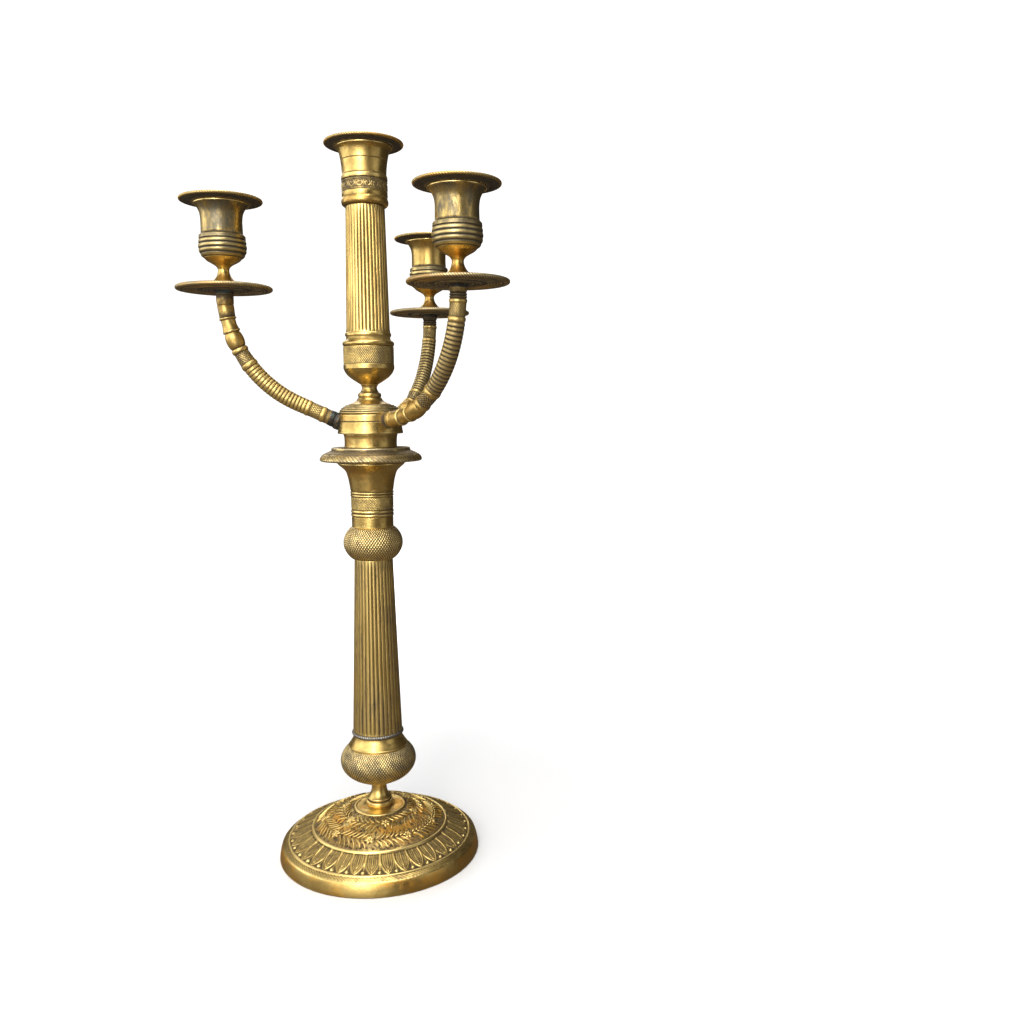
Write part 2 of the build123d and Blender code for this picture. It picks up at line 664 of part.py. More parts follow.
def arm_body(name, azimuth, rise, reach, pan_z, bend):
    """Curved arm: straight out of the hub, one wide bend, straight up to the pan collar."""
    side = vertical_plane(azimuth)
    top_z = pan_z + PAN_UNDERSIDE - PAN_COLLAR_HEIGHT
    corner_z = ARM_HUB_Z + (reach - ARM_REFERENCE_RADIUS) * tan(radians(rise))
    tangent = bend * tan(radians(90 - rise) / 2)
    start = (ARM_START_RADIUS, ARM_HUB_Z + (ARM_START_RADIUS - ARM_REFERENCE_RADIUS) * tan(radians(rise)))
    bend_start = (reach - tangent * cos(radians(rise)), corner_z - tangent * sin(radians(rise)))
    bend_end = (reach, corner_z + tangent)
    entry = entry_plane(azimuth, rise, ARM_START_RADIUS)
    with BuildPart() as arm:
        with BuildLine(side) as route:
            out = Line(start, bend_start)
            TangentArc(bend_start, bend_end, tangent=out % 1)
            Line(bend_end, (reach, top_z))
        centre_line = route.wires()[0]
        with BuildSketch(entry):
            Circle(ARM_RADIUS)
        sweep(path=centre_line)
        for share in ARM_RING_SHARES:
            with BuildSketch(station_plane(name, centre_line, share)):
                Circle(ARM_RING_RADIUS)
            extrude(amount=ARM_RING_WIDTH / 2, both=True)
        with BuildSketch(station_plane(name, centre_line, ARM_BALL_SHARE)):
            Circle(ARM_BALL_RADIUS)
        extrude(amount=ARM_BALL_LENGTH / 2, taper=ARM_BALL_TAPER, both=True)
        add(hub_envelope, mode=Mode.SUBTRACT)
        if name == REVERSED_ARM:
            with BuildSketch(entry):
                Circle(ARM_RADIUS * 2)
            extrude(amount=ARM_REFERENCE_RADIUS + HUB_COLLAR_LENGTH - ARM_START_RADIUS, mode=Mode.SUBTRACT)
        with BuildSketch(entry):
            Circle(ARM_STUD_RADIUS + THREAD_CLEARANCE)
        extrude(amount=ARM_STUD_BORE, mode=Mode.SUBTRACT)
        with BuildSketch(Plane(origin=side.from_local_coords(Vector(reach, top_z, 0)))):
            Circle(CUP_SCREW_RADIUS + THREAD_CLEARANCE)
        extrude(amount=-CUP_SCREW_BORE, mode=Mode.SUBTRACT)
    return arm.part


def arm_stud(azimuth, rise):
    """Threaded stud that screws an arm to the hub."""
    with BuildPart() as stud:
        with BuildSketch(entry_plane(azimuth, rise, ARM_START_RADIUS - ARM_STUD_INSET)):
            Circle(ARM_STUD_RADIUS)
        extrude(amount=ARM_STUD_LENGTH)
    return stud.part


def turned_on_arm(azimuth, reach, outline):
    """Piece turned about a candle's own axis, from an outline of (radius, height) points."""
    side = vertical_plane(azimuth, reach)
    with BuildPart() as piece:
        with BuildSketch(side):
            with BuildLine():
                Polyline(*outline, close=True)
            make_face()
        revolve(axis=Axis(side.origin, (0, 0, 1)))
    return piece.part


def candle_cup(azimuth, reach, pan_z):
    """Turned candle cup: spreading foot, thin neck, ribbed bulb, plain neck and flared lip."""
    side = vertical_plane(azimuth, reach)
    screw_bore = CUP_SCREW_RADIUS + THREAD_CLEARANCE
    with BuildPart() as cup:
        with BuildSketch(side):
            with BuildLine():
                Line((9.6, pan_z + CUP_SEAT), (9.4, pan_z + CUP_SEAT + 0.8))
                Spline(
                    (9.4, pan_z + CUP_SEAT + 0.8),
                    (6.3, pan_z + 6.0),
                    (3.5, pan_z + 11.4),
                    (6.5, pan_z + 15.2),
                    (12.3, pan_z + 19.3),
                    (14.5, pan_z + 25.5),
                    (14.3, pan_z + 31.0),
                    (13.3, pan_z + 33.6),
                )
                Line((13.3, pan_z + 33.6), (13.1, pan_z + 35.0))
                Spline(
                    (13.1, pan_z + 35.0),
                    (12.9, pan_z + 41.0),
                    (14.0, pan_z + 48.6),
                    (CUP_LIP_RADIUS - 0.2, pan_z + CUP_LIP - 0.8),
                )
                Polyline(
                    (CUP_LIP_RADIUS - 0.2, pan_z + CUP_LIP - 0.8),
                    (CUP_LIP_RADIUS, pan_z + CUP_LIP - 0.4),
                    (CUP_LIP_RADIUS, pan_z + CUP_LIP),
                    (SOCKET_BORE, pan_z + CUP_LIP),
                    (SOCKET_BORE, pan_z + CUP_FLOOR + 2.0),
                    (SOCKET_BORE - 2.0, pan_z + CUP_FLOOR),
                    (0.0, pan_z + CUP_FLOOR),
                    (0.0, pan_z + CUP_STEM_BORE_TOP),
                    (screw_bore, pan_z + CUP_STEM_BORE_TOP),
                    (screw_bore, pan_z + CUP_SEAT),
                    (9.6, pan_z + CUP_SEAT),
                )
            make_face()
        revolve(axis=Axis(side.origin, (0, 0, 1)))
    return cup.part


screw_clear = CUP_SCREW_RADIUS + ROD_CLEARANCE
arm_studs = []
cup_screws = []
for name, azimuth, rise, reach, pan_z, bend in ARMS:
    collar_z = pan_z + PAN_UNDERSIDE - PAN_COLLAR_HEIGHT
    save(arm_body(name, azimuth, rise, reach, pan_z, bend), f"{name}_arm")
    collar_outline = (
        (screw_clear, collar_z),
        (5.5, collar_z),
        (5.7, collar_z + 1.4),
        (7.0, pan_z + PAN_UNDERSIDE),
        (screw_clear, pan_z + PAN_UNDERSIDE),
    )
    save(turned_on_arm(azimuth, reach, collar_outline), f"{name}_pan_collar")
    pan_outline = (
        (screw_clear, pan_z + PAN_UNDERSIDE),
        (DRIP_PAN_RADIUS - 3.0, pan_z + PAN_UNDERSIDE),
        (DRIP_PAN_RADIUS - 1.0, pan_z - 1.2),
        (DRIP_PAN_RADIUS, pan_z - 0.2),
        (DRIP_PAN_RADIUS - 0.6, pan_z + 1.0),
        (DRIP_PAN_RADIUS - 2.4, pan_z + 1.2),
        (DRIP_PAN_RADIUS - 3.4, pan_z + 0.4),
        (12.0, pan_z + 0.6),
        (10.6, pan_z + CUP_SEAT),
        (screw_clear, pan_z + CUP_SEAT),
    )
    save(turned_on_arm(azimuth, reach, pan_outline), f"{name}_drip_pan")
    save(candle_cup(azimuth, reach, pan_z), f"{name}_candle_cup")
    save(bobeche(azimuth, reach, pan_z + CUP_LIP, CUP_LIP_RADIUS), f"{name}_bobeche")
    arm_studs.append(arm_stud(azimuth, rise))
    screw_outline = (
        (0.0, collar_z - CUP_SCREW_BORE + 0.5),
        (CUP_SCREW_RADIUS, collar_z - CUP_SCREW_BORE + 0.5),
        (CUP_SCREW_RADIUS, pan_z + CUP_STEM_BORE_TOP - 0.5),
        (0.0, pan_z + CUP_STEM_BORE_TOP - 0.5),
    )
    cup_screws.append(turned_on_arm(azimuth, reach, screw_outline))

# Short dark sleeve that packs the reversed arm off the hub.
for name, azimuth, rise, reach, pan_z, bend in ARMS:
    if name == REVERSED_ARM:
        with BuildPart() as hub_collar:
            with BuildSketch(entry_plane(azimuth, rise, ARM_START_RADIUS)):
                Circle(ARM_RADIUS + 0.5)
                Circle(ARM_STUD_RADIUS + ROD_CLEARANCE, mode=Mode.SUBTRACT)
            extrude(amount=ARM_REFERENCE_RADIUS + HUB_COLLAR_LENGTH - ARM_START_RADIUS)
            add(hub_envelope, mode=Mode.SUBTRACT)
        save(hub_collar.part, f"{name}_hub_collar")

save(Compound(children=arm_studs), "arm_studs")
save(Compound(children=cup_screws), "cup_screws")
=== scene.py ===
"""Gilt brass candelabra: turned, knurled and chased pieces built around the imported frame.

Every turned piece is an outline of (radius, height) points in millimetres, swept round an axis.
An outline is a chain of runs, foot to lip outside and back down the bore, and each run has its own
relief, its own cavity and its own share of patina and bare copper: line(), curve(), groove() and
bore() start where the run before them ends. Meshes are in metres, in the frame's own axes.
"""

import math
import random

import bpy
import numpy as np
from mathutils import Matrix, Vector

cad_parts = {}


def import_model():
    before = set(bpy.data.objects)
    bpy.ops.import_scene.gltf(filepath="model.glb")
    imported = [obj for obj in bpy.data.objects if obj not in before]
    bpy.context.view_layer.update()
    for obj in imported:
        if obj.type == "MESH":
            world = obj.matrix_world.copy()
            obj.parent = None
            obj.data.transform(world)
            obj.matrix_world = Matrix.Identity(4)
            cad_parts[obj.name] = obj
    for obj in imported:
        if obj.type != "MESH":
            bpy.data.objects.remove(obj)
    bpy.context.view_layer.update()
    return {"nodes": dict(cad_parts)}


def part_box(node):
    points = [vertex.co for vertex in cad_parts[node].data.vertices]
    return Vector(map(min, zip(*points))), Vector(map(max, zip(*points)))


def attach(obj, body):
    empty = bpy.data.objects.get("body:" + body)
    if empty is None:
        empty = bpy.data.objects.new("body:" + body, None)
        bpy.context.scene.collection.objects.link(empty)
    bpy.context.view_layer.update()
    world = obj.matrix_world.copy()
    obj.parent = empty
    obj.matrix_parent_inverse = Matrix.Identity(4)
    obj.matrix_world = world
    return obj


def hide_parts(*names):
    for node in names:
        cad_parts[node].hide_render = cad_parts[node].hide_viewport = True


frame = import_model()

MM = 0.001
TURN = 2 * math.pi
ARM_NAMES = ("left", "front", "back")
REVERSED_ARM = "left"
ARM_RISE = {"left": 25.0, "front": 6.0, "back": 6.0}
ARM_BEND = {"left": 76.0, "front": 75.0, "back": 75.0}
ARM_HUB_Z = 302.8
ARM_REFERENCE_RADIUS = 22.9
ARM_INSET = 3.0
HUB_COLLAR_LENGTH = 5.0


def low_z(node):
    """Height of a node's underside, in mm."""
    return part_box(node)[0].z / MM


def high_z(node):
    """Height of a node's top, in mm."""
    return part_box(node)[1].z / MM


def centre_of(node):
    """Horizontal centre of a node, in mm."""
    low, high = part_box(node)
    return (low.x + high.x) / 2 / MM, (low.y + high.y) / 2 / MM


# ---- outlines
def smooth(*points, steps=6):
    """Catmull-Rom curve through the points."""
    p = np.array([points[0], *points, points[-1]], float)
    p[0] = 2 * p[1] - p[2]
    p[-1] = 2 * p[-2] - p[-3]
    made = []
    for a, b, c, d in zip(p, p[1:], p[2:], p[3:]):
        square, cube = 2 * a - 5 * b + 4 * c - d, 3 * b - a - 3 * c + d
        for k in range(steps):
            t = k / steps
            made.append(0.5 * (2 * b + (c - a) * t + square * t**2 + cube * t**3))
    made.append(p[-2])
    return [tuple(q) for q in made]


def ribs(path, count, swell, steps=6, sharpness=1.0):
    """Outline of count half-round beads side by side along a path, each proud by swell."""
    path = np.array(path, float)
    lengths = np.concatenate([[0], np.cumsum(np.hypot(*np.diff(path, axis=0).T))])
    s = np.linspace(0, lengths[-1], count * steps + 1)
    r = np.interp(s, lengths, path[:, 0])
    z = np.interp(s, lengths, path[:, 1])
    tr, tz = np.gradient(r), np.gradient(z)
    size = np.hypot(tr, tz)
    proud = swell * np.abs(np.sin(math.pi * np.arange(len(s)) / steps)) ** sharpness
    return list(zip(r + tz / size * proud, z - tr / size * proud))


def bead(radius, low, high, swell, steps=8):
    """One half-round ring on a cylinder."""
    return ribs([(radius, low), (radius, high)], 1, swell, steps, 0.6)


class Run:
    """One stretch of an outline: its points, its relief, and how it has aged, with a cavity that the brass
    paints as dirt and painted shade.

    copper may be a function of the radius. Where follow is given, the points lack their start, and
    follow makes the whole path once the end of the run before is known.
    """

    def __init__(self, points, step=None, relief=None, patina=0.25, copper=0.0, cavity=0.0, square=False,
                 follow=None):
        self.points = [tuple(map(float, p)) for p in points]
        self.follow = follow
        self.step = step
        self.relief = relief
        self.patina = patina
        self.copper = copper
        self.cavity = cavity
        self.square = square

    def rows(self, segments):
        """The run's points at its own spacing: every step, or square to the segments round it."""
        p = np.array(self.points)
        s = np.concatenate([[0], np.cumsum(np.hypot(*np.diff(p, axis=0).T))])
        if self.square:
            at = [0.0]
            while at[-1] < s[-1]:
                at.append(at[-1] + max(np.interp(at[-1], s, p[:, 0]), 1.0) * TURN / segments)
            at = np.array(at) * s[-1] / at[-1]
        elif self.step:
            at = [s[0]]
            for a, b in zip(s, s[1:]):
                n = max(1, math.ceil((b - a) / self.step))
                at.extend(a + (b - a) * (k + 1) / n for k in range(n))
            at = np.array(at)
        else:
            at = s
        return np.interp(at, s, p[:, 0]), np.interp(at, s, p[:, 1]), at


def line(*points, **aging_and_shading):
    """Straight stretch from the end of the run before through the points."""
    return Run(points, follow=list, **aging_and_shading)


def curve(*points, steps=6, **aging_and_shading):
    """Smooth stretch from the end of the run before through the points."""
    return Run(points, follow=lambda path: smooth(*path, steps=steps), **aging_and_shading)


def groove(*points, patina=0.6, cavity=0.5):
    """Step or groove between two parts, where dirt stays and painted shade is put."""
    return line(*points, patina=patina, cavity=cavity)


def bore(*points):
    """Tarnished faces that no hand reaches: joints, undersides and the bore."""
    return line(*points, patina=0.9)


def join(runs):
    """Let each run that follows another start where that one ends."""
    for before, run in zip(runs, runs[1:]):
        if run.follow:
            run.points = run.follow([before.points[-1], *run.points])
            run.follow = None
    return runs


def soften(rows, reach=0.28, sharp=24):
    """Round off the outline's corners of more than sharp degrees, so that each one catches light."""
    count = len(rows)
    made = []
    for i, row in enumerate(rows):
        before, after = rows[i - 1], rows[(i + 1) % count]
        a = np.array(before[:2]) - row[:2]
        b = np.array(after[:2]) - row[:2]
        la, lb = np.hypot(*a), np.hypot(*b)
        if min(la, lb) < 1e-6 or row[0] < 1e-6:
            made.append(row)
            continue
        a, b = a / la, b / lb
        turn = math.degrees(math.acos(max(-1, min(1, -a @ b))))
        if turn < sharp or min(la, lb) < 0.3:
            made.append(row)
            continue
        d = min(reach, la / 5, lb / 5)
        corner = np.array(row[:2])
        for offset in (a * 2.4 * d, a * d, (a + b) * 0.29 * d, b * d, b * 2.4 * d):
            made.append((*(corner + offset), *row[2:]))
    return made


def upright(centre, foot):
    """Axis of a piece that stands upright: rows are heights above the foot."""

    def axis(s):
        origin = np.stack([np.full_like(s, centre[0]), np.full_like(s, centre[1]), s + foot], 1)
        flat = np.ones((len(s), 1))
        return origin, flat * [[0, 0, 1]], flat * [[1, 0, 0]], flat * [[0, 1, 0]]

    return axis


# ---- relief
# A relief gets a row of angles round the piece and, as columns, each row's distance s along the run, its
# radius and its number, with the run's length. It returns height in mm and cavity, from -1 on a rubbed tip
# to 1 in a dirty hollow. The brass paints that cavity as wear with painted highlight on tips, and as dirt
# with painted shade in hollows.
def fade(s, length, edge):
    """One value for each row: 1, but down to 0 within edge of the run's ends."""
    x = np.clip(np.minimum(s, length - s) / edge, 0, 1)
    return x * x * (3 - 2 * x)


def saw(x):
    """How far x lies past the middle of its unit cell."""
    return x - np.floor(x) - 0.5


def hump(x, width):
    """Soft ridge along x = 0."""
    return np.exp(-((x / width) ** 2))


def knurl(count, depth, edge=0.6, tall=1.45):
    """Staggered rows of small domes, as deep as a share of their pitch, on a lower ground."""

    def relief(theta, s, length, radius, index):
        u = count * theta / TURN
        v = index * count / theta.size / tall
        dome = np.abs(np.cos(math.pi * (u + v)) * np.cos(math.pi * (u - v)))
        tip = np.clip((dome - 0.12) / 0.7, 0, 1)
        size = depth * TURN * radius / count * fade(s, length, edge)
        return size * (tip**0.8 - 0.4), 1.0 - 2.0 * tip**0.7

    return relief


def flutes(count, depth, seed, hollow, edge=1.8):
    """Convex ridges with narrow grooves between them, a little uneven as a hand-finished tube is."""
    chance = np.random.default_rng(seed)
    deep = chance.uniform(0.8, 1.15, count)
    shift = chance.uniform(-0.05, 0.05, count)

    def relief(theta, s, length, radius, index):
        place = count * theta / TURN
        which = np.floor(place).astype(int) % count
        x = saw(place)
        x = x + shift[which] * np.cos(math.pi * x)
        ridge = np.clip(np.cos(math.pi * np.clip(x, -0.5, 0.5)), 0, 1) ** 0.4
        height = depth * fade(s, length, edge) * ((ridge - 1) * deep[which])
        return height, np.ones_like(s) * (1.0 - 1.45 * ridge**hollow)

    return relief


def twist(count, slant, depth, power=0.6, edge=0.3, dirt_and_shade=1.0):
    """Oblique ridges, as on a rope: slant is the turn in ridges per mm."""

    def relief(theta, s, length, radius, index):
        x = saw(count * theta / TURN + slant * s)
        ridge = np.cos(math.pi * x) ** power
        return depth * fade(s, length, edge) * (ridge - 0.5), dirt_and_shade * (0.9 - 1.5 * ridge)

    return relief


def banded(count):
    """No height of its own: dirt and painted shade between count rings side by side, and their crowns rubbed
    bright with a painted highlight.
    """

    def relief(theta, s, length, radius, index):
        crown = np.abs(np.sin(math.pi * count * s / length)) * np.ones_like(theta)
        return np.zeros_like(crown), 0.8 - 1.5 * crown

    return relief


def stipple(depth, seed, blur=3, edge=0.4):
    """Punched ground: random small dents."""

    def relief(theta, s, length, radius, index):
        field = np.random.default_rng(seed).random((s.size, theta.size))
        for _ in range(blur):
            field = (field + np.roll(field, 1, 1) + np.roll(field, 1, 0)) / 3
        field = (field - field.mean()) / (field.std() * 2)
        return depth * fade(s, length, edge) * field, -field * 0.7 + 0.25

    return relief


def lotus(count, depth):
    """Pointed arches of leaf with a raised edge, inner lines and a midrib, and a bead between the tips."""

    def relief(theta, s, length, radius, index):
        cell = TURN / count
        angle = np.abs(saw(theta / cell) * 2)
        pitch = cell * radius / 2
        t = 1 - s / length
        x = np.clip((t - 0.3) / 0.67, 0, 1)
        half = 0.9 * (1 - x * x) ** 0.9
        slope = 0.9 * 1.8 * x / 0.67 * pitch / length
        beyond = np.clip(t - 0.97, 0, 1) * length
        side = ((angle - half) * pitch + beyond) / np.sqrt(1 + slope**2)
        inside = np.clip(-side / 0.3, 0, 1)
        edge = hump(side, 0.44)
        second = hump(side + 1.5, 0.36) * inside * (t < 0.86)
        third = hump(side + 2.75, 0.34) * inside * (t < 0.66)
        rib = hump(angle * pitch, 0.36) * inside * (t < 0.9)
        stalk = hump((1 - angle) * pitch, 0.30) * (side > 0.2) * (t < 0.84)
        between = (1 - angle) * pitch
        along = (t - 0.885) * length
        ball = np.clip(1 - (between**2 + along**2) / 1.2**2, 0, 1) ** 0.5
        height = 0.95 * edge + 0.42 * second + 0.34 * third + 0.62 * rib + 0.45 * stalk - 0.25
        height = np.maximum(height, ball * 1.7 - 0.3)
        return depth * fade(s, length, 0.5) * height, np.clip(0.55 - 1.3 * height, -1, 1)

    return relief


def scrolls(count, depth):
    """Engraved band: small flowers with a curling leaf between each pair, on a punched ground."""

    def relief(theta, s, length, radius, index):
        cell = TURN / count
        x = saw(theta / cell) * cell * radius
        y = (s - length / 2) * np.ones_like(x)
        away = np.hypot(x, y)
        turn = np.arctan2(y, x)
        petals = 1.5 + 0.45 * np.cos(5 * turn)
        flower = np.clip((petals - away) / 0.6, 0, 1) * (0.75 + 0.25 * np.cos(5 * turn))
        eye = np.clip(1 - away / 0.55, 0, 1)
        half = cell * radius / 2
        x2 = np.where(x > 0, x - half, x + half)
        curl_away = np.hypot(x2, y)
        spiral = np.cos(2.6 * curl_away - np.arctan2(y, x2))
        curl = np.clip(spiral, 0, 1) ** 0.7 * np.clip((half * 0.7 + 0.8 - curl_away) / 0.5, 0, 1)
        edges = hump(np.abs(y) - length / 2 + 0.55, 0.3)
        dots = 0.3 * np.cos(x * 7.1 + y * 2.0) * np.cos(y * 6.3 - x * 1.3)
        height = np.maximum.reduce([flower + eye * 0.5, curl * 0.9, edges * 0.8, dots])
        return depth * fade(s, length, 0.3) * height, 0.5 - 1.2 * height

    return relief


def worn(depth, seed, edge=0.6):
    """Shallow hand-worn unevenness on a plain turned surface."""
    chance = np.random.default_rng(seed)
    waves = [(k, chance.uniform(0, TURN), chance.uniform(-0.25, 0.25)) for k in (3, 5, 8, 13)]

    def relief(theta, s, length, radius, index):
        height = sum(np.sin(k * theta + p + tilt * s) / (k**0.5) for k, p, tilt in waves)
        return depth * fade(s, length, edge) * height, np.zeros_like(height)

    return relief


# ---- meshes
def write_mesh(name, points, faces, attributes, material):
    """A smooth-shaded mesh object from arrays in mm, with its float attributes."""
    mesh = bpy.data.meshes.new(name)
    mesh.from_pydata((points * MM).tolist(), [], faces)
    mesh.update()
    mesh.shade_smooth()
    for key, values in attributes.items():
        layer = mesh.attributes.new(key, "FLOAT", "POINT")
        layer.data.foreach_set("value", np.ascontiguousarray(values, np.float32))
    mesh.materials.append(material)
    piece = bpy.data.objects.new(name, mesh)
    bpy.context.scene.collection.objects.link(piece)
    return piece


SAME_POINT = 1e-4
CAVITY_GAIN = 1.7


def directions(r, z):
    """Unit direction of a closed outline at each of its rows."""
    along_r = np.roll(r, -1) - np.roll(r, 1)
    along_z = np.roll(z, -1) - np.roll(z, 1)
    size = np.hypot(along_r, along_z) + 1e-9
    return along_r / size, along_z / size


def outline_cavity(r, z, window=0.9):
    """How deep each row sits in a corner of its outline, from -1 on an edge to 1 in a nook. The brass paints
    nooks darker as painted shade and edges lighter as painted highlight, besides dirt and wear.
    """
    closed_r, closed_z = np.append(r, r[0]), np.append(z, z[0])
    steps = np.hypot(np.diff(closed_r), np.diff(closed_z))
    s = np.concatenate([[0], np.cumsum(steps)])
    total = s[-1]
    along_r, along_z = directions(r, z)
    found = []
    for side in (-window, window):
        at = (s[:-1] + side) % total
        found.append((np.interp(at, s, closed_r), np.interp(at, s, closed_z)))
    mid_r = (found[0][0] + found[1][0]) / 2 - r
    mid_z = (found[0][1] + found[1][1]) / 2 - z
    return np.clip((mid_r * along_z - mid_z * along_r) / window * CAVITY_GAIN, -1, 1)


def turned(name, runs, segments, material, axis):
    """Sweep a closed outline round an axis, with each run's relief, as one closed mesh."""
    rows = []
    angles = np.arange(segments) * TURN / segments
    for number, run in enumerate(join(runs)):
        for i, (r, z, s) in enumerate(zip(*run.rows(segments))):
            if rows and math.hypot(rows[-1][0] - r, rows[-1][1] - z) < SAME_POINT:
                continue
            copper = run.copper(r) if callable(run.copper) else run.copper
            rows.append((r, z, run.patina, copper, run.cavity, number, i, s))
    if math.hypot(rows[-1][0] - rows[0][0], rows[-1][1] - rows[0][1]) < SAME_POINT:
        rows.pop()
    r, z, patina, copper, cavity, owner, place, distance = np.array(soften(rows), float).T
    along_r, normal_r = directions(r, z)
    normal_z = -along_r
    height = np.zeros((len(r), segments))
    cavity = np.zeros((len(r), segments)) + (cavity + outline_cavity(r, z))[:, None]
    for number, run in enumerate(runs):
        if run.relief is None:
            continue
        mine = owner == number
        length = run.rows(segments)[2][-1]
        columns = distance[mine, None], length, r[mine, None], place[mine, None]
        up, hollow = run.relief(angles[None, :], *columns)
        height[mine] += up
        cavity[mine] += hollow
    origin, tangent, side, cross = axis(z)
    angles = angles[None, :, None]
    out = np.cos(angles) * side[:, None, :] + np.sin(angles) * cross[:, None, :]
    pole = r < SAME_POINT
    reach = np.where(pole[:, None], 0, r[:, None] + normal_r[:, None] * height)
    lift = (normal_z[:, None] * height)[..., None]
    points = origin[:, None, :] + out * reach[..., None] + tangent[:, None, :] * lift
    keep = np.ones((len(r), segments), bool)
    keep[pole, 1:] = False
    keep = keep.reshape(-1)
    index = (np.cumsum(keep) - 1).reshape(len(r), segments)
    index[pole] = index[pole][:, :1]
    faces = []
    for i in range(len(r)):
        j = (i + 1) % len(r)
        if pole[i] and pole[j]:
            continue
        corners = [index[i], np.roll(index[i], -1), np.roll(index[j], -1), index[j]]
        if pole[i]:
            del corners[1]
        elif pole[j]:
            del corners[2]
        faces.extend(zip(*(corner.tolist() for corner in corners)))
    flat = lambda grid: np.broadcast_to(grid, (len(r), segments)).reshape(-1)[keep]
    attributes = {
        "cavity": flat(np.clip(cavity, -1, 1)),
        "patina": flat(patina[:, None]),
        "copper": flat(copper[:, None]),
    }
    return write_mesh(name, points.reshape(-1, 3)[keep], faces, attributes, material)


def dress(piece, node, body):
    """Let a piece stand for a CAD node on its body."""
    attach(piece, body)
    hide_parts(node)


# ---- materials
class Graph:
    """Short ways to add nodes to one material."""

    def __init__(self, name, stretch=1.0):
        self.material = bpy.data.materials.new(name)
        self.material.use_nodes = True
        self.tree = self.material.node_tree
        self.shader = self.tree.nodes["Principled BSDF"]
        self.place = self.add("ShaderNodeTexCoord").outputs["Object"]
        if stretch != 1.0:
            inputs = {"Vector": self.place, "Scale": (1.0, 1.0, stretch)}
            self.place = self.add("ShaderNodeMapping", inputs).outputs["Vector"]

    def add(self, kind, inputs=None, **settings):
        node = self.tree.nodes.new(kind)
        for key, value in settings.items():
            setattr(node, key, value)
        for key, value in (inputs or {}).items():
            self.feed(node.inputs[key], value)
        return node

    def feed(self, socket, value):
        if isinstance(value, bpy.types.NodeSocket):
            self.tree.links.new(value, socket)
        else:
            socket.default_value = value

    def shade(self, name, value):
        self.feed(self.shader.inputs[name], value)

    def noise(self, scale, detail=4.0, rough=0.55, place=None):
        inputs = {"Vector": place or self.place, "Scale": scale, "Detail": detail, "Roughness": rough}
        return self.add("ShaderNodeTexNoise", inputs).outputs["Fac"]

    def value(self, attribute):
        return self.add("ShaderNodeAttribute", attribute_name=attribute).outputs["Fac"]

    def math(self, operation, a, b):
        return self.add("ShaderNodeMath", {0: a, 1: b}, operation=operation).outputs[0]

    def plus(self, a, b):
        return self.math("ADD", a, b)

    def minus(self, a, b):
        return self.math("SUBTRACT", a, b)

    def times(self, a, b):
        return self.math("MULTIPLY", a, b)

    def span(self, value, low, high, to_low=0.0, to_high=1.0):
        inputs = {"Value": value, "From Min": low, "From Max": high, "To Min": to_low, "To Max": to_high}
        return self.add("ShaderNodeMapRange", inputs, interpolation_type="SMOOTHSTEP").outputs["Result"]

    def mix(self, factor, a, b):
        node = self.add("ShaderNodeMix", data_type="RGBA")
        self.feed(node.inputs["Factor"], factor)
        for key, colour in ((6, a), (7, b)):
            self.feed(node.inputs[key], (*colour, 1.0) if isinstance(colour, tuple) else colour)
        return node.outputs[2]

    def bump(self, height, distance, strength, normal=None):
        inputs = {"Height": height, "Distance": distance, "Strength": strength}
        if normal is not None:
            inputs["Normal"] = normal
        return self.add("ShaderNodeBump", inputs).outputs["Normal"]


BRIGHT_GOLD = (0.93, 0.71, 0.28)
GOLD = (0.70, 0.50, 0.165)
OCHRE = (0.36, 0.215, 0.062)
GREY_BROWN = (0.185, 0.150, 0.098)
VERDIGRIS = (0.165, 0.160, 0.125)
RUBBED_COPPER = (0.76, 0.42, 0.085)
# Brown-black of dirt, also used as painted shade in hollows and undersides.
GRIME_AND_SHADE = (0.034, 0.022, 0.010)
PALE_TIP = (0.97, 0.84, 0.50)
PEWTER = (0.30, 0.28, 0.25)
NEAR_BLACK = (0.026, 0.024, 0.023)
DARK_BROWN = (0.075, 0.055, 0.034)
BLUE_GREEN = (0.060, 0.085, 0.085)
HANDLED_BROWN = (0.36, 0.24, 0.10)
IRON_GREY = (0.055, 0.052, 0.05)
RUST = (0.16, 0.075, 0.035)
DARK_PEWTER = (0.12, 0.115, 0.11)


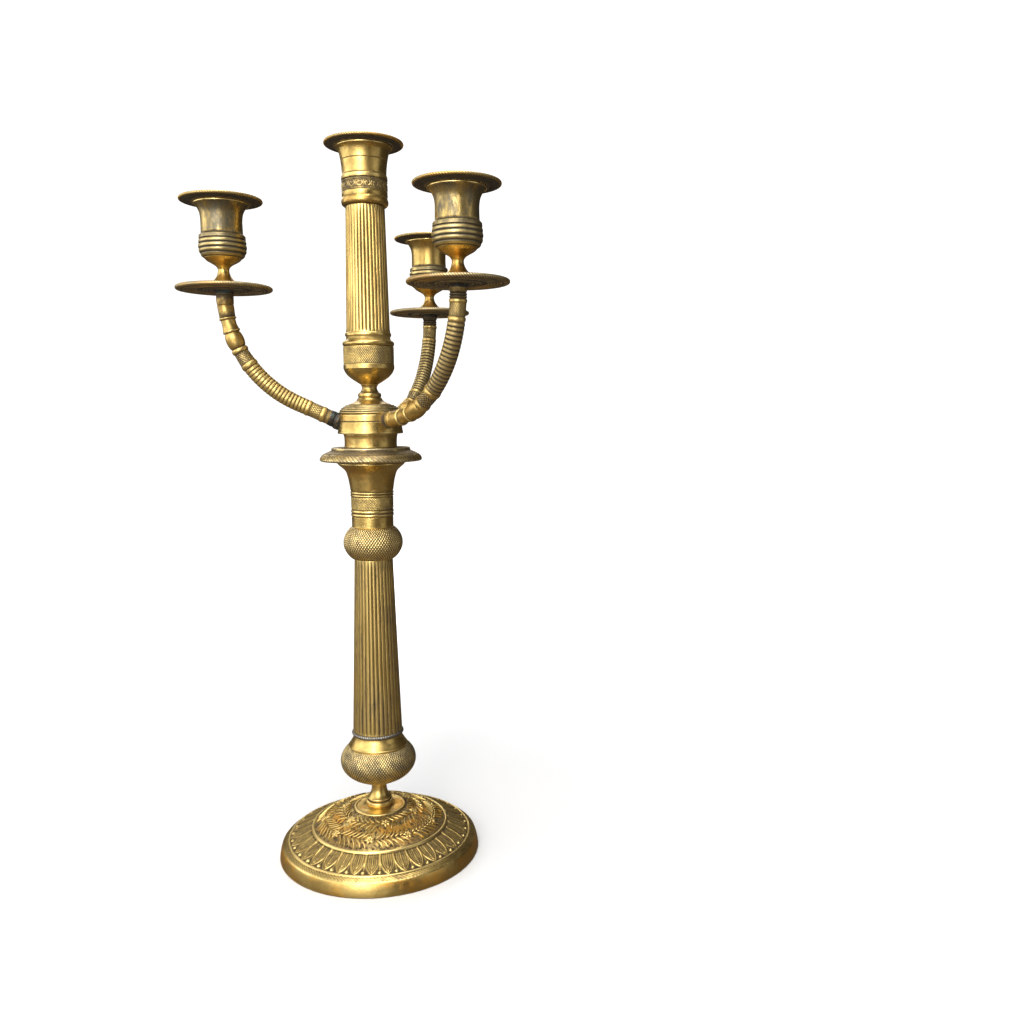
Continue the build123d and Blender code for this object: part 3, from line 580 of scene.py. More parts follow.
def aged_brass(name, rough, dull=0.0, turning=0.0, stretch=1.0, grain=1.0, tip=BRIGHT_GOLD, bright=GOLD,
               faded=OCHRE, grey=GREY_BROWN):
    """Old gilt brass: gold on what is rubbed, ochre over the rest, brown dirt in the hollows. The hollows
    also get painted shade, and the rubbed tips and edges a painted highlight.

    dull is the share of ochre, turning the strength of the lathe's rings, stretch how much the stains
    are squeezed along Z, and grain the strength of the fine unevenness.
    """
    g = Graph(name, stretch)
    cavity, patina, copper = g.value("cavity"), g.value("patina"), g.value("copper")
    broad = g.noise(36.0, 3.0)
    stain = g.noise(170.0, 6.0, 0.68)
    speck = g.noise(900.0, 3.0, 0.6)
    blend = g.plus(g.times(broad, 0.4), g.times(stain, 0.6))
    tarnish = g.span(blend, 0.38, 0.64)
    base = g.mix(g.times(tarnish, 0.5 + dull), bright, faded)
    # Tip colour on rubbed tips and convex edges, from the cavity attribute: real wear and painted highlight.
    rubbed_and_highlight = g.span(g.minus(g.times(speck, 0.35), cavity), 0.25, 0.95)
    base = g.mix(g.times(rubbed_and_highlight, 0.85), base, tip)
    spots = g.times(g.minus(blend, 0.5), 2.4)
    greyed = g.times(g.span(g.plus(patina, spots), 0.3, 0.85), 0.88)
    greyed = g.times(greyed, g.minus(1.0, g.times(rubbed_and_highlight, 0.6)))
    base = g.mix(greyed, base, grey)
    red = g.times(copper, g.span(g.plus(broad, g.times(stain, 0.4)), 0.62, 0.86))
    base = g.mix(red, base, RUBBED_COPPER)
    # Painted shade in hollows, corners and undersides, from the cavity attribute, mixed with real dirt,
    # stains and pits.
    dirt_and_shade = g.span(g.plus(cavity, g.times(g.minus(stain, 0.5), 0.7)), 0.1, 0.9)
    pits = g.span(g.noise(520.0, 2.0, 0.5), 0.70, 0.78)
    dirt_and_shade = g.math("MAXIMUM", g.times(dirt_and_shade, 0.93), g.times(pits, 0.5))
    g.shade("Base Color", g.mix(dirt_and_shade, base, GRIME_AND_SHADE))
    g.shade("Metallic", g.span(dirt_and_shade, 0.0, 1.0, 1.0, 0.6))
    duller = g.plus(g.times(greyed, 0.2), g.times(dirt_and_shade, 0.3))
    roughness = g.plus(g.span(stain, 0.3, 0.75, rough - 0.06, rough + 0.14), duller)
    g.shade("Roughness", roughness)
    normal = g.bump(g.noise(70.0, 2.0), 0.0010, 0.25 * grain)
    normal = g.bump(stain, 0.00018, 0.5 * grain, normal)
    normal = g.bump(speck, 0.00010, 0.5 * grain, normal)
    if turning:
        height = g.add("ShaderNodeSeparateXYZ", {"Vector": g.place}).outputs["Z"]
        rings = g.add("ShaderNodeCombineXYZ", {"Z": height}).outputs["Vector"]
        normal = g.bump(g.noise(2600.0, 2.0, 0.6, rings), 0.00008, turning, normal)
    g.shade("Normal", normal)
    return g.material


def dark_bronze():
    """Nearly black collars, with brown showing where they are handled and on their edges, where it is also a
    painted highlight.
    """
    g = Graph("dark_bronze")
    cavity = g.value("cavity")
    stain = g.noise(210.0, 5.0, 0.65)
    speck = g.noise(1100.0, 3.0)
    # Brown where stain is strong and on edges, from the cavity: handling wear and painted highlight.
    worn_and_highlit_edge = g.span(g.minus(stain, cavity), 0.45, 1.3)
    base = g.mix(g.span(stain, 0.35, 0.7), NEAR_BLACK, DARK_BROWN)
    base = g.mix(g.span(g.noise(120.0, 3.0), 0.48, 0.66), base, BLUE_GREEN)
    base = g.mix(g.times(worn_and_highlit_edge, 0.45), base, HANDLED_BROWN)
    g.shade("Base Color", base)
    g.shade("Metallic", 0.85)
    g.shade("Roughness", g.span(stain, 0.3, 0.7, 0.34, 0.58))
    g.shade("Normal", g.bump(speck, 0.0002, 0.6, g.bump(stain, 0.0006, 0.3)))
    return g.material


def forged_iron():
    """Rods, nuts and washers inside: dark iron with a little rust."""
    g = Graph("forged_iron")
    stain = g.noise(300.0, 5.0, 0.65)
    base = g.mix(g.span(stain, 0.42, 0.66), IRON_GREY, RUST)
    g.shade("Base Color", base)
    g.shade("Metallic", g.span(stain, 0.42, 0.66, 0.95, 0.35))
    g.shade("Roughness", g.span(stain, 0.3, 0.7, 0.4, 0.75))
    g.shade("Normal", g.bump(stain, 0.0003, 0.5))
    return g.material


BURNISHED = aged_brass("burnished_brass", rough=0.31, turning=0.35)
CHASED = aged_brass("rubbed_brass", dull=0.1, rough=0.33)
KNURLED = aged_brass("patinated_brass", dull=0.3, rough=0.34, tip=PALE_TIP)
CUP_BRASS = aged_brass("cup_brass", dull=0.2, rough=0.3, turning=0.2, stretch=0.45, grey=VERDIGRIS)
FLUTED = aged_brass("fluted_brass", dull=0.1, rough=0.34, stretch=0.22, grain=0.5)
ARM_BRASS = aged_brass("arm_brass", dull=0.3, rough=0.42, grain=0.4)
TINNED = aged_brass("tinned_brass", rough=0.36, tip=PEWTER, bright=DARK_PEWTER, faded=DARK_PEWTER)
DARK = dark_bronze()
IRON = forged_iron()
HIDDEN_NODES = (
    "base_washer", "base_nut", "lower_tie_rod", "upper_tie_rod", "upper_nut", "arm_studs", "cup_screws",
)
for hidden in HIDDEN_NODES:
    frame["nodes"][hidden].data.materials.clear()
    frame["nodes"][hidden].data.materials.append(IRON)


def turn_node(node, body, runs, segments, material=BURNISHED, centre=(0.0, 0.0), foot=None, label=None):
    """Turn an upright piece on a node's own axis and let it stand for the node."""
    foot = low_z(node) if foot is None else foot
    piece = turned(label or "turned_" + node, runs, segments, material, upright(centre, foot))
    dress(piece, node, body)


# ---- candlestick
ROD_BORE = 3.2
STUD_BORE = 3.05
SCREW_BORE = 1.7
SOCKET_BORE = 11.9
SLEEVE_RADIUS = 11.82
SLEEVE_BORE = 11
KNOP_WALL = 3.5
BAND_DOMES = 80
THIN_SIDES, MIDDLE_SIDES, WIDE_SIDES = 96, 128, 160
DOME = smooth((45.4, 19.9), (39.6, 23.0), (32.0, 26.3), (24.8, 28.9), (18.2, 30.9), steps=10)
DOME_INSIDE = smooth((18.4, 28.2), (31.6, 23.6), (45.0, 17.2), steps=4)
LOTUS_LEAVES = 35


def worn_zones(radius):
    """How far the dome's gilding is rubbed to copper: most between the wreaths, a little all over."""
    return 2.4 * math.exp(-(((radius - 31.3) / 2.6) ** 2)) + 0.35


def foot():
    """Foot in two turned shells that overlap under the raised ring: border outside, dome inside."""
    border = [
        Run([(69, 0), (69.5, 0.6)], patina=0.2, copper=1.2),
        curve((69.2, 3), (68.5, 6.2), (67.8, 8.4), (67.4, 9.1), step=1.8, relief=worn(0.03, 3),
            patina=0.05, copper=0.9),
        line((66.9, 9.5), patina=0, cavity=-0.5),
        line((64.1, 11.2), step=0.5, relief=twist(168, 0.55, 0.24, 0.8, 0.5), patina=0.35, cavity=0.05),
        curve((63.8, 11.9), (63.1, 12.3), (62.4, 12), steps=2, patina=0.1, cavity=-0.1),
        line((47.9, 18.5), step=0.47, relief=lotus(LOTUS_LEAVES, 0.62), patina=0.3, cavity=-0.08),
        curve((47.4, 19.7), (46.6, 20.2), (45.8, 19.8), steps=3, patina=0.15, cavity=-0.3),
        line((45.6, 17), (48, 15.9), (62.3, 9.6), (64.8, 7.3), (66.3, 0), (69, 0), patina=0.9, cavity=0.2),
    ]
    turn_node("base_foot", "candlestick", border, LOTUS_LEAVES * 22, CHASED, label="foot_border")
    dome = [
        Run([(47.2, 18.4), (46.2, 19.4), (45.4, 19.9)], patina=0.6, cavity=0.3),
        Run(DOME, step=1, relief=stipple(0.05, 11), patina=0.6, cavity=0.1, copper=worn_zones),
        Run(smooth((18.2, 30.9), (17.9, 31.6), (17.3, 31.9), (16.5, 31.9), steps=3), patina=0, copper=0.7),
        curve((15.6, 31.5), (13, 31.5), (11, 31.8), (9.6, 32.4), relief=worn(0.05, 8), patina=0.4,
            copper=1.6),
        line((ROD_BORE, 32.4), (ROD_BORE, 28.7), (12, 28.7), (18.4, 28.2), patina=0.7),
        Run(DOME_INSIDE, patina=0.9, cavity=0.3),
        Run([(45, 17.2), (47.2, 18.4)], patina=0.9),
    ]
    turn_node("base_foot", "candlestick", dome, 480, CHASED, label="foot_dome")


def dome_frame(radius, angle):
    """Point on the dome's surface, with its directions round, uphill and out of the metal."""
    r, z = np.array(DOME[::-1]).T
    height = np.interp(radius, r, z)
    slope = np.interp(radius + 0.5, r, z) - np.interp(radius - 0.5, r, z)
    out = Vector((math.cos(angle), math.sin(angle), 0))
    around = Vector((-math.sin(angle), math.cos(angle), 0))
    uphill = (-out + Vector((0, 0, -slope))).normalized()
    normal = around.cross(uphill).normalized()
    if normal.z < 0:
        normal = -normal
    return out * radius + Vector((0, 0, height)), around, uphill, normal


class Chasing:
    """Raised leaves, petals and berries gathered into one mesh on the dome."""

    def __init__(self):
        self.points, self.faces, self.cavity = [], [], []

    def leaf(self, radius, angle, heading, length, width, height, bend=0.0, rows=9, across=6, fold=0.35):
        """Leaf from its stalk at a place on the dome: heading is measured from the way round."""
        grid = []
        for i in range(rows + 1):
            u = i / rows
            half = 0.05
            if 0 < i < rows:
                half = width / 2 * math.sin(math.pi * min(1, 0.06 + 0.94 * u) ** 0.75) ** 0.8
            course = heading + bend * u
            x = length * u * math.cos(heading + bend * u / 2)
            y = length * u * math.sin(heading + bend * u / 2)
            row = []
            for j in range(across + 1):
                v = 2 * j / across - 1
                px = x - half * v * math.sin(course)
                py = y + half * v * math.cos(course)
                crown = (1 - v * v) ** 0.6 * math.sin(math.pi * (0.12 + 0.86 * u)) ** 0.5
                crease = fold * math.exp(-((v / 0.22) ** 2))
                edge = j in (0, across) or i in (0, rows)
                up = -0.5 if edge else height * (crown - crease * crown)
                spot_radius = radius - py
                spot, _, _, normal = dome_frame(spot_radius, angle + px / max(spot_radius, 5.0))
                row.append(len(self.points))
                self.points.append(spot + normal * up)
                # Cavity of the leaf: painted shade along its edge and in its crease, painted highlight on
                # its crown.
                self.cavity.append(0.9 if edge else 0.1 - 1.0 * (crown - crease * 1.6))
            grid.append(row)
        for a, b in zip(grid, grid[1:]):
            for j in range(across):
                self.faces.append((a[j], a[j + 1], b[j + 1], b[j]))
        rim = grid[0] + [row[-1] for row in grid[1:]] + grid[-1][-2::-1] + [row[0] for row in grid[-2:0:-1]]
        self.faces.append(tuple(reversed(rim)))

    def berry(self, radius, angle, size):
        """Small dome with a closed underside sunk in the metal."""
        origin, around, uphill, normal = dome_frame(radius, angle)
        rings, sides = 5, 10
        first = len(self.points)
        for i in range(rings):
            tilt = math.pi * 0.62 * (i + 1) / rings
            for j in range(sides):
                turn = TURN * j / sides
                flat = around * math.cos(turn) + uphill * math.sin(turn)
                rise = math.cos(tilt) + 0.15
                self.points.append(origin + flat * size * math.sin(tilt) + normal * size * rise)
                # Cavity of the berry: painted highlight towards its top, painted shade towards its foot.
                self.cavity.append(-0.8 + 1.7 * (i + 1) / rings)
        top = len(self.points)
        self.points.append(origin + normal * size * 1.15)
        # Painted highlight at the top.
        self.cavity.append(-0.9)
        for j in range(sides):
            k = (j + 1) % sides
            self.faces.append((top, first + j, first + k))
            for i in range(rings - 1):
                a, b = first + i * sides, first + (i + 1) * sides
                self.faces.append((a + j, b + j, b + k, a + k))
        last = first + (rings - 1) * sides
        self.faces.append(tuple(last + j for j in reversed(range(sides))))

    def flower(self, radius, angle, petals, size, turn):
        """Open flower: leaves all round a berry."""
        for k in range(petals):
            heading = turn + TURN * k / petals
            self.leaf(radius, angle, heading, size, size * 0.62, 0.95, rows=6, fold=0.3)
        self.berry(radius, angle, size * 0.24)


def wreaths():
    """Two wreaths chased on the dome, of long leaves in pairs with open flowers between the groups."""
    chance = random.Random(17)
    chasing = Chasing()
    for radius, groups, pairs, way, start in ((37.9, 9, 6, 1, 0.30), (25.0, 6, 5, -1, 0.65)):
        step = TURN / groups
        for group in range(groups):
            here = start + step * group
            chasing.flower(radius + chance.uniform(-0.3, 0.3), here, 6, 3.9, chance.uniform(0, 1))
            for k in (-1, 1):
                chasing.berry(radius - 2.6 * k, here - way * step * 0.16, 0.62)
            for pair in range(pairs):
                angle = here + way * step * (0.13 + 0.76 * pair / pairs)
                for side in (-1, 1):
                    spread = 0.42 + chance.uniform(-0.07, 0.07)
                    heading = side * spread if way > 0 else math.pi - side * spread
                    length = 8.8 + chance.uniform(-0.4, 0.3)
                    if radius < 30 and side > 0:
                        length -= 1.6
                    bend = side * way * 0.8
                    chasing.leaf(radius - side * 0.2, angle, heading, length, 1.45, 1.2, bend)
    points = np.array([tuple(p) for p in chasing.points])
    count = len(points)
    attributes = {
        "cavity": np.clip(np.array(chasing.cavity), -1, 1),
        "patina": np.full(count, 0.12),
        "copper": np.full(count, 0.1),
    }
    piece = write_mesh("foot_wreaths", points, chasing.faces, attributes, CHASED)
    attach(piece, "candlestick")


def lower_stack():
    """Stem ring, stem, knurled knop, collar and rope ring."""
    runs = [
        Run([(8.8, 0), (9.4, 0.5)], patina=0.5, cavity=0.4),
        # The ring's face is painted lighter by its cavity: a painted highlight on the ring.
        line((9.6, 1.1), (9.55, 2.7), (9.3, 3.3), (8.8, 3.5), patina=0, cavity=-0.6),
        line((7.9, 3.7), (7.9, 4.4), (ROD_BORE, 4.4), (ROD_BORE, 0), patina=0.8, cavity=0.7),
    ]
    turn_node("stem_ring", "candlestick", runs, THIN_SIDES)
    runs = [
        Run([(8, 0), (8.35, 0.3), (8.35, 1)], patina=0.1),
        curve((7.5, 1.9), (6.3, 3.6), (5.4, 6.6), (5.15, 9.4), (5.35, 12.8), step=0.6,
            relief=worn(0.02, 21), patina=0),
        line((ROD_BORE, 12.8), (ROD_BORE, 0), patina=0.8),
    ]
    turn_node("short_stem", "candlestick", runs, THIN_SIDES)
    knop("lower_knop", 25.9, 16.5, 65.7, dots=87, patina=0.6)
    runs = [
        Run([(19.6, 0), (20.2, 0.5), (20.3, 1.2), (19.8, 1.6)], patina=0.15),
        curve((18.6, 3.6), (17.2, 5.9), (16.6, 7.6), (16.5, 8.5), step=0.7, relief=worn(0.03, 25),
            patina=0),
        line((ROD_BORE, 8.5), (ROD_BORE, 5.5), (13.5, 5.5), (13.5, 0), patina=0.8),
    ]
    turn_node("knop_collar", "candlestick", runs, MIDDLE_SIDES)
    runs = [
        Run(bead(16.5, 0, 2.6, 1.25, 14), relief=twist(66, 0.33, 0.42), patina=0.2),
        Run([(16.5, 2.6), (9.5, 2.6), (9.5, 0)], patina=0.9),
    ]
    turn_node("rope_ring", "candlestick", runs, 66 * 7, TINNED)


def knop(node, radius, half_height, centre_z, dots, patina):
    """Oblate hollow knop, hobnailed all over."""
    foot, top = low_z(node), high_z(node)
    ends = [math.asin((z - centre_z) / half_height) for z in (foot, top)]
    tilt = np.linspace(*ends, 60)
    side = [(radius * math.cos(a), centre_z - foot + half_height * math.sin(a)) for a in tilt]
    top_in = side[-1][0] - KNOP_WALL
    height = top - foot
    core = [(max(r - KNOP_WALL, ROD_BORE), h) for r, h in side[8:-4:6]]
    runs = [
        Run(side, square=True, relief=knurl(dots, 0.3, 1.2), patina=patina, cavity=0.1),
        line((top_in, height), patina=0.6),
        bore(*core[::-1], (ROD_BORE, core[0][1]), (ROD_BORE, 0)),
    ]
    turn_node(node, "candlestick", runs, dots * 5, KNURLED)


def column(node, body, foot_radius, top_radius, flare, count, seed, patina, hollow):
    """Fluted tapered tube, plain for a little at each end."""
    height = high_z(node) - low_z(node)
    flared = [(foot_radius + flare, 0), (foot_radius + flare * 0.4, 1.4), (foot_radius, 3)]
    runs = [
        Run([*flared, (top_radius, height)], step=5, relief=flutes(count, 0.9, seed, hollow), patina=patina),
        bore((9.5, height), (9.5, 0)),
    ]
    turn_node(node, body, runs, count * 14, FLUTED)


def nozzle():
    """Top of the candlestick: ring groups, a knurled band and a trumpet lip round the socket."""
    runs = [
        Run([(13.8, 0), (14, 0.3)], patina=0.2),
        line((14, 6.8), step=1.2, relief=worn(0.03, 31), patina=0),
        groove((13.7, 7.2)),
        Run(ribs([(13.9, 7.2), (13.9, 12)], 2, 0.55), relief=banded(2), patina=0.3),
        Run([(13.7, 12), (14.05, 12.3)], patina=0.6, cavity=0.5),
        line((14.15, 20.4), square=True, relief=knurl(BAND_DOMES, 0.22, 0.4), patina=0.45),
        groove((13.9, 20.7)),
        Run(ribs([(14, 20.7), (14.1, 24.4)], 2, 0.55), relief=banded(2), patina=0.3),
        Run([(14, 24.4), (14.4, 24.9)], patina=0.5, cavity=0.4),
        curve((15.1, 29.8), (16, 34.2), (17.6, 38.4), (22.2, 42.6), step=0.8, relief=worn(0.1, 33),
            patina=0.25, copper=0.9),
        line((22.4, 42.9), (22.4, 43.5), (SOCKET_BORE, 43.5), patina=0.3),
        bore((SOCKET_BORE, 15.6), (0, 15.6), (0, 11.6), (STUD_BORE, 11.6), (STUD_BORE, 0)),
    ]
    turn_node("candlestick_nozzle", "candlestick", runs, BAND_DOMES * 5)


# ---- loose pan and branch centre
def loose_pan():
    """Wide pan: plain ledge, hatched shoulder, slanting gadroons round the edge."""
    top = high_z("main_pan")
    lip = high_z("candlestick_nozzle") - top
    sleeve = low_z("main_pan") - top
    runs = [
        Run([(SLEEVE_RADIUS, sleeve), (SLEEVE_RADIUS, lip), (23.4, lip), (25, -8.8)], patina=0.8,
            cavity=0.2),
        line((33, -9.1), (33.7, -8.8), step=1.2, patina=0.6),
        curve((34.15, -8), (33.9, -6.8), (33, -5.4), (31.6, -4.2), steps=4, step=0.45,
            relief=twist(80, 0.38, 0.26, 1, 0.7, 0.5), patina=0.62, cavity=0.05),
        groove((31.3, -4.2)),
        curve((29.6, -3.2), (27.8, -2.5), (26.7, -1.9), steps=4, step=0.5,
            relief=twist(150, -0.5, 0.12, 1), patina=1, cavity=0.1),
        line((26.4, -1.7), (26.3, -0.3), (26, 0), patina=0.8),
        line((SLEEVE_BORE, 0), step=2, relief=worn(0.02, 41), patina=0.9),
        bore((SLEEVE_BORE, sleeve)),
    ]
    turn_node("main_pan", "loose_pan", runs, 80 * 8, KNURLED, foot=top)


def branch_centre():
    """Spigot, hub, ringed cap, neck, cup under the column, column and top socket."""
    ledge = high_z("main_pan") - low_z("branch_spigot")
    top = high_z("branch_spigot") - low_z("branch_spigot")
    runs = [
        Run([(10.2, 0), (10.9, 1.5), (10.9, ledge), (17.2, ledge), (17.6, ledge + 0.4)], patina=0.7),
        curve((17.5, ledge + 3), (17.6, ledge + 6.4), (18.1, top - 0.4), step=0.8, relief=worn(0.05, 43),
            patina=0.45, copper=0.5),
        bore((18.1, top), (ROD_BORE, top), (ROD_BORE, top - 4.6), (8, top - 4.6), (8, 0)),
    ]
    turn_node("branch_spigot", "branch", runs, MIDDLE_SIDES)
    runs = [
        Run([(18.2, 0), (21.4, 0)], patina=0.7, cavity=0.3),
        line((21.85, 0.3), (21.9, 0.9), patina=0.2, cavity=-0.2),
        curve((21.6, 2.4), (21.3, 4.8), (21.15, 7.8), step=0.9, relief=worn(0.03, 45), patina=0.08),
        groove((20.65, 8.05), (20.95, 8.3), cavity=0.6),
        line((20.6, 12.2), step=0.9, relief=worn(0.03, 46), patina=0.05),
        line((20.3, 12.9), (17.3, 12.9), (17.3, 3.4), (ROD_BORE, 3.4), (ROD_BORE, 0), (18.2, 0),
            patina=0.5),
    ]
    turn_node("hub_drum", "branch", runs, WIDE_SIDES)
    runs = [
        Run([(19.9, 0), (20.3, 0.3)], patina=0.6, cavity=0.3),
        Run(ribs(smooth((20.3, 0.3), (20.1, 1.8), (18.9, 3.6), (16.8, 5.1), (15, 6.2)), 5, 0.52),
            relief=banded(5), patina=0.9, cavity=0.1),
        Run([(15, 6.2), (14.4, 6.3), (13.9, 6.8)], patina=0.6, cavity=0.5),
        curve((12.2, 7.4), (10.4, 8.2), patina=0.2),
        bore((ROD_BORE, 8.2), (ROD_BORE, 4.8), (9, 4.8), (15, 0)),
    ]
    turn_node("hub_cap", "branch", runs, MIDDLE_SIDES)
    runs = [
        Run(smooth((10.3, 0), (8.8, 1.2), (7.8, 2.8)), patina=0.3, cavity=0.2),
        Run(bead(7.2, 2.8, 6, 0.55), patina=0.55),
        Run([(7.2, 6), (6.3, 6.4), (5.9, 6.9)], patina=0.7, cavity=0.6),
        curve((5.1, 8.6), (5, 10), (5.7, 11.3), (5.9, 11.7), patina=0.45, cavity=0.15),
        bore((ROD_BORE, 11.7), (ROD_BORE, 0)),
    ]
    turn_node("neck_spool", "branch", runs, THIN_SIDES)
    runs = [
        Run(smooth((5.9, 0), (9.4, 2.2), (12.2, 4.1), (14.3, 6), (15.8, 8), (16.7, 10)), step=0.8,
            relief=worn(0.03, 47), patina=0.12),
        line((16.9, 10.3), (16.9, 12.9), (16.6, 13.2), patina=0.2),
        line((16.6, 24.8), square=True, relief=knurl(BAND_DOMES, 0.22, 0.5), patina=0.5),
        line((16.2, 25.1), patina=0.5, cavity=0.4),
        Run(bead(16.2, 25.1, 28.4, 0.95), patina=0.2),
        Run(smooth((16.2, 28.4), (15, 29.4), (14.6, 30.6), (14.8, 31.7)), patina=0.2, cavity=0.1),
        line((15.3, 32), (15.3, 33.4), (14.9, 33.9), patina=0.3),
        bore((9.5, 33.9), (9.5, 29.9), (13.2, 26.9), (13.2, 11), (9, 6), (ROD_BORE, 4.6), (ROD_BORE, 0)),
    ]
    turn_node("column_cup", "branch", runs, BAND_DOMES * 5)
    column("upper_column", "branch", 14.4, 12.8, 0.4, 34, 53, 0.15, 1.7)
    runs = [
        Run([(13.4, 0), (14.1, 0.3)], patina=0.7, cavity=0.5),
        curve((15, 1.1), (15.35, 2.5), (15.2, 4), (14.85, 5.1), patina=0.2, copper=0.3),
        line((14.75, 5.4), patina=0.4, cavity=0.4),
        curve((14.9, 6.2), (15, 7.3), (14.9, 8.4), patina=0.05),
        groove((14.7, 8.7), cavity=0.6),
        line((14.75, 16), step=0.24, relief=scrolls(17, 0.34), patina=0.6, cavity=0.15),
        groove((14.55, 16.3), (15, 16.5)),
        line((15.1, 17.4), (14.95, 19.2), relief=worn(0.02, 56), patina=0, cavity=-0.25),
        line((14.5, 19.7), patina=0.4, cavity=0.3),
        curve((14.45, 21.4), (14.7, 24.8), (15.1, 28.4), step=0.8, relief=worn(0.04, 57), patina=0.12),
        line((14.85, 28.6), (15.2, 28.8), patina=0.4, cavity=0.5),
        curve((15.8, 32.2), (16.7, 35.2), (18.2, 37.1), step=0.8, relief=worn(0.04, 59), patina=0.15),
        # The lip's edge is painted lighter by its cavity: a painted highlight along the edge.
        line((18.5, 36.9), (18.55, 37.6), (18.3, 37.9), patina=0, cavity=-0.6),
        line((SOCKET_BORE, 37.9), patina=0.5),
        bore((SOCKET_BORE, 8.7), (0, 8.7), (0, 5.7), (STUD_BORE, 5.7), (STUD_BORE, 0)),
    ]
    turn_node("top_socket", "branch", runs, 17 * 28)


def candle_ring(place, lip_node, lip_radius):
    """Loose candle ring: a thin dished saucer with a hatched rim, on a sleeve in the socket."""
    node = f"{place}_bobeche"
    lip = high_z(lip_node)
    sleeve = low_z(node) - lip
    runs = [
        Run([(SLEEVE_RADIUS, sleeve), (SLEEVE_RADIUS, 0), (lip_radius + 1, 0)], patina=0.8, cavity=0.5),
        # The saucer's underside is painted darker by its cavity: painted shade under the saucer, on top of
        # its tarnish.
        line((24.7, 1), step=1, relief=worn(0.05, 61), patina=1, cavity=0.85),
        curve((25.5, 1.25), (25.75, 1.9), (25.5, 2.5), (24.6, 2.75), steps=4,
            relief=twist(92, 0.5, 0.3, 0.8), patina=0.8, cavity=0.3, copper=0.7),
        curve((23.9, 2.6), (22.8, 1.95), (21.2, 1.35), patina=0.35, cavity=0.1),
        line((12, 0.85), step=1.6, relief=worn(0.05, 63), patina=0.45),
        line((SLEEVE_BORE, 0.6), (SLEEVE_BORE, sleeve), patina=0.7, cavity=0.3),
    ]
    turn_node(node, f"{place}_candle_ring", runs, 552, centre=centre_of(node), foot=lip)


# ---- arms
def arm_axis(name):
    """Centre line of an arm, from the hub wall to the pan collar, and its length."""
    reach_x, reach_y = centre_of(f"{name}_candle_cup")
    azimuth = math.atan2(reach_y, reach_x)
    reach = math.hypot(reach_x, reach_y)
    rise = math.radians(ARM_RISE[name])
    bend = ARM_BEND[name]
    top = low_z(f"{name}_pan_collar")
    corner_z = ARM_HUB_Z + (reach - ARM_REFERENCE_RADIUS) * math.tan(rise)
    tangent = bend * math.tan((math.pi / 2 - rise) / 2)
    first = (reach - ARM_REFERENCE_RADIUS + ARM_INSET) / math.cos(rise) - tangent
    arc = bend * (math.pi / 2 - rise)
    last = top - corner_z - tangent
    start = (ARM_REFERENCE_RADIUS - ARM_INSET, ARM_HUB_Z - ARM_INSET * math.tan(rise))
    out = np.array([math.cos(azimuth), math.sin(azimuth), 0.0])
    up = np.array([0.0, 0.0, 1.0])

    def axis(s):
        turn = rise + np.clip((s - first) / bend, 0, math.pi / 2 - rise)
        straight = np.minimum(s, first)
        across = start[0] + straight * math.cos(rise) + bend * (np.sin(turn) - math.sin(rise))
        height = start[1] + straight * math.sin(rise) + bend * (math.cos(rise) - np.cos(turn))
        height = height + np.clip(s - first - arc, 0, None)
        origin = across[:, None] * out + height[:, None] * up
        along = np.cos(turn)[:, None] * out + np.sin(turn)[:, None] * up
        side = np.ones((len(s), 1)) * np.array([-out[1], out[0], 0.0])
        return origin, along, side, np.cross(along, side)

    return axis, first + arc + last


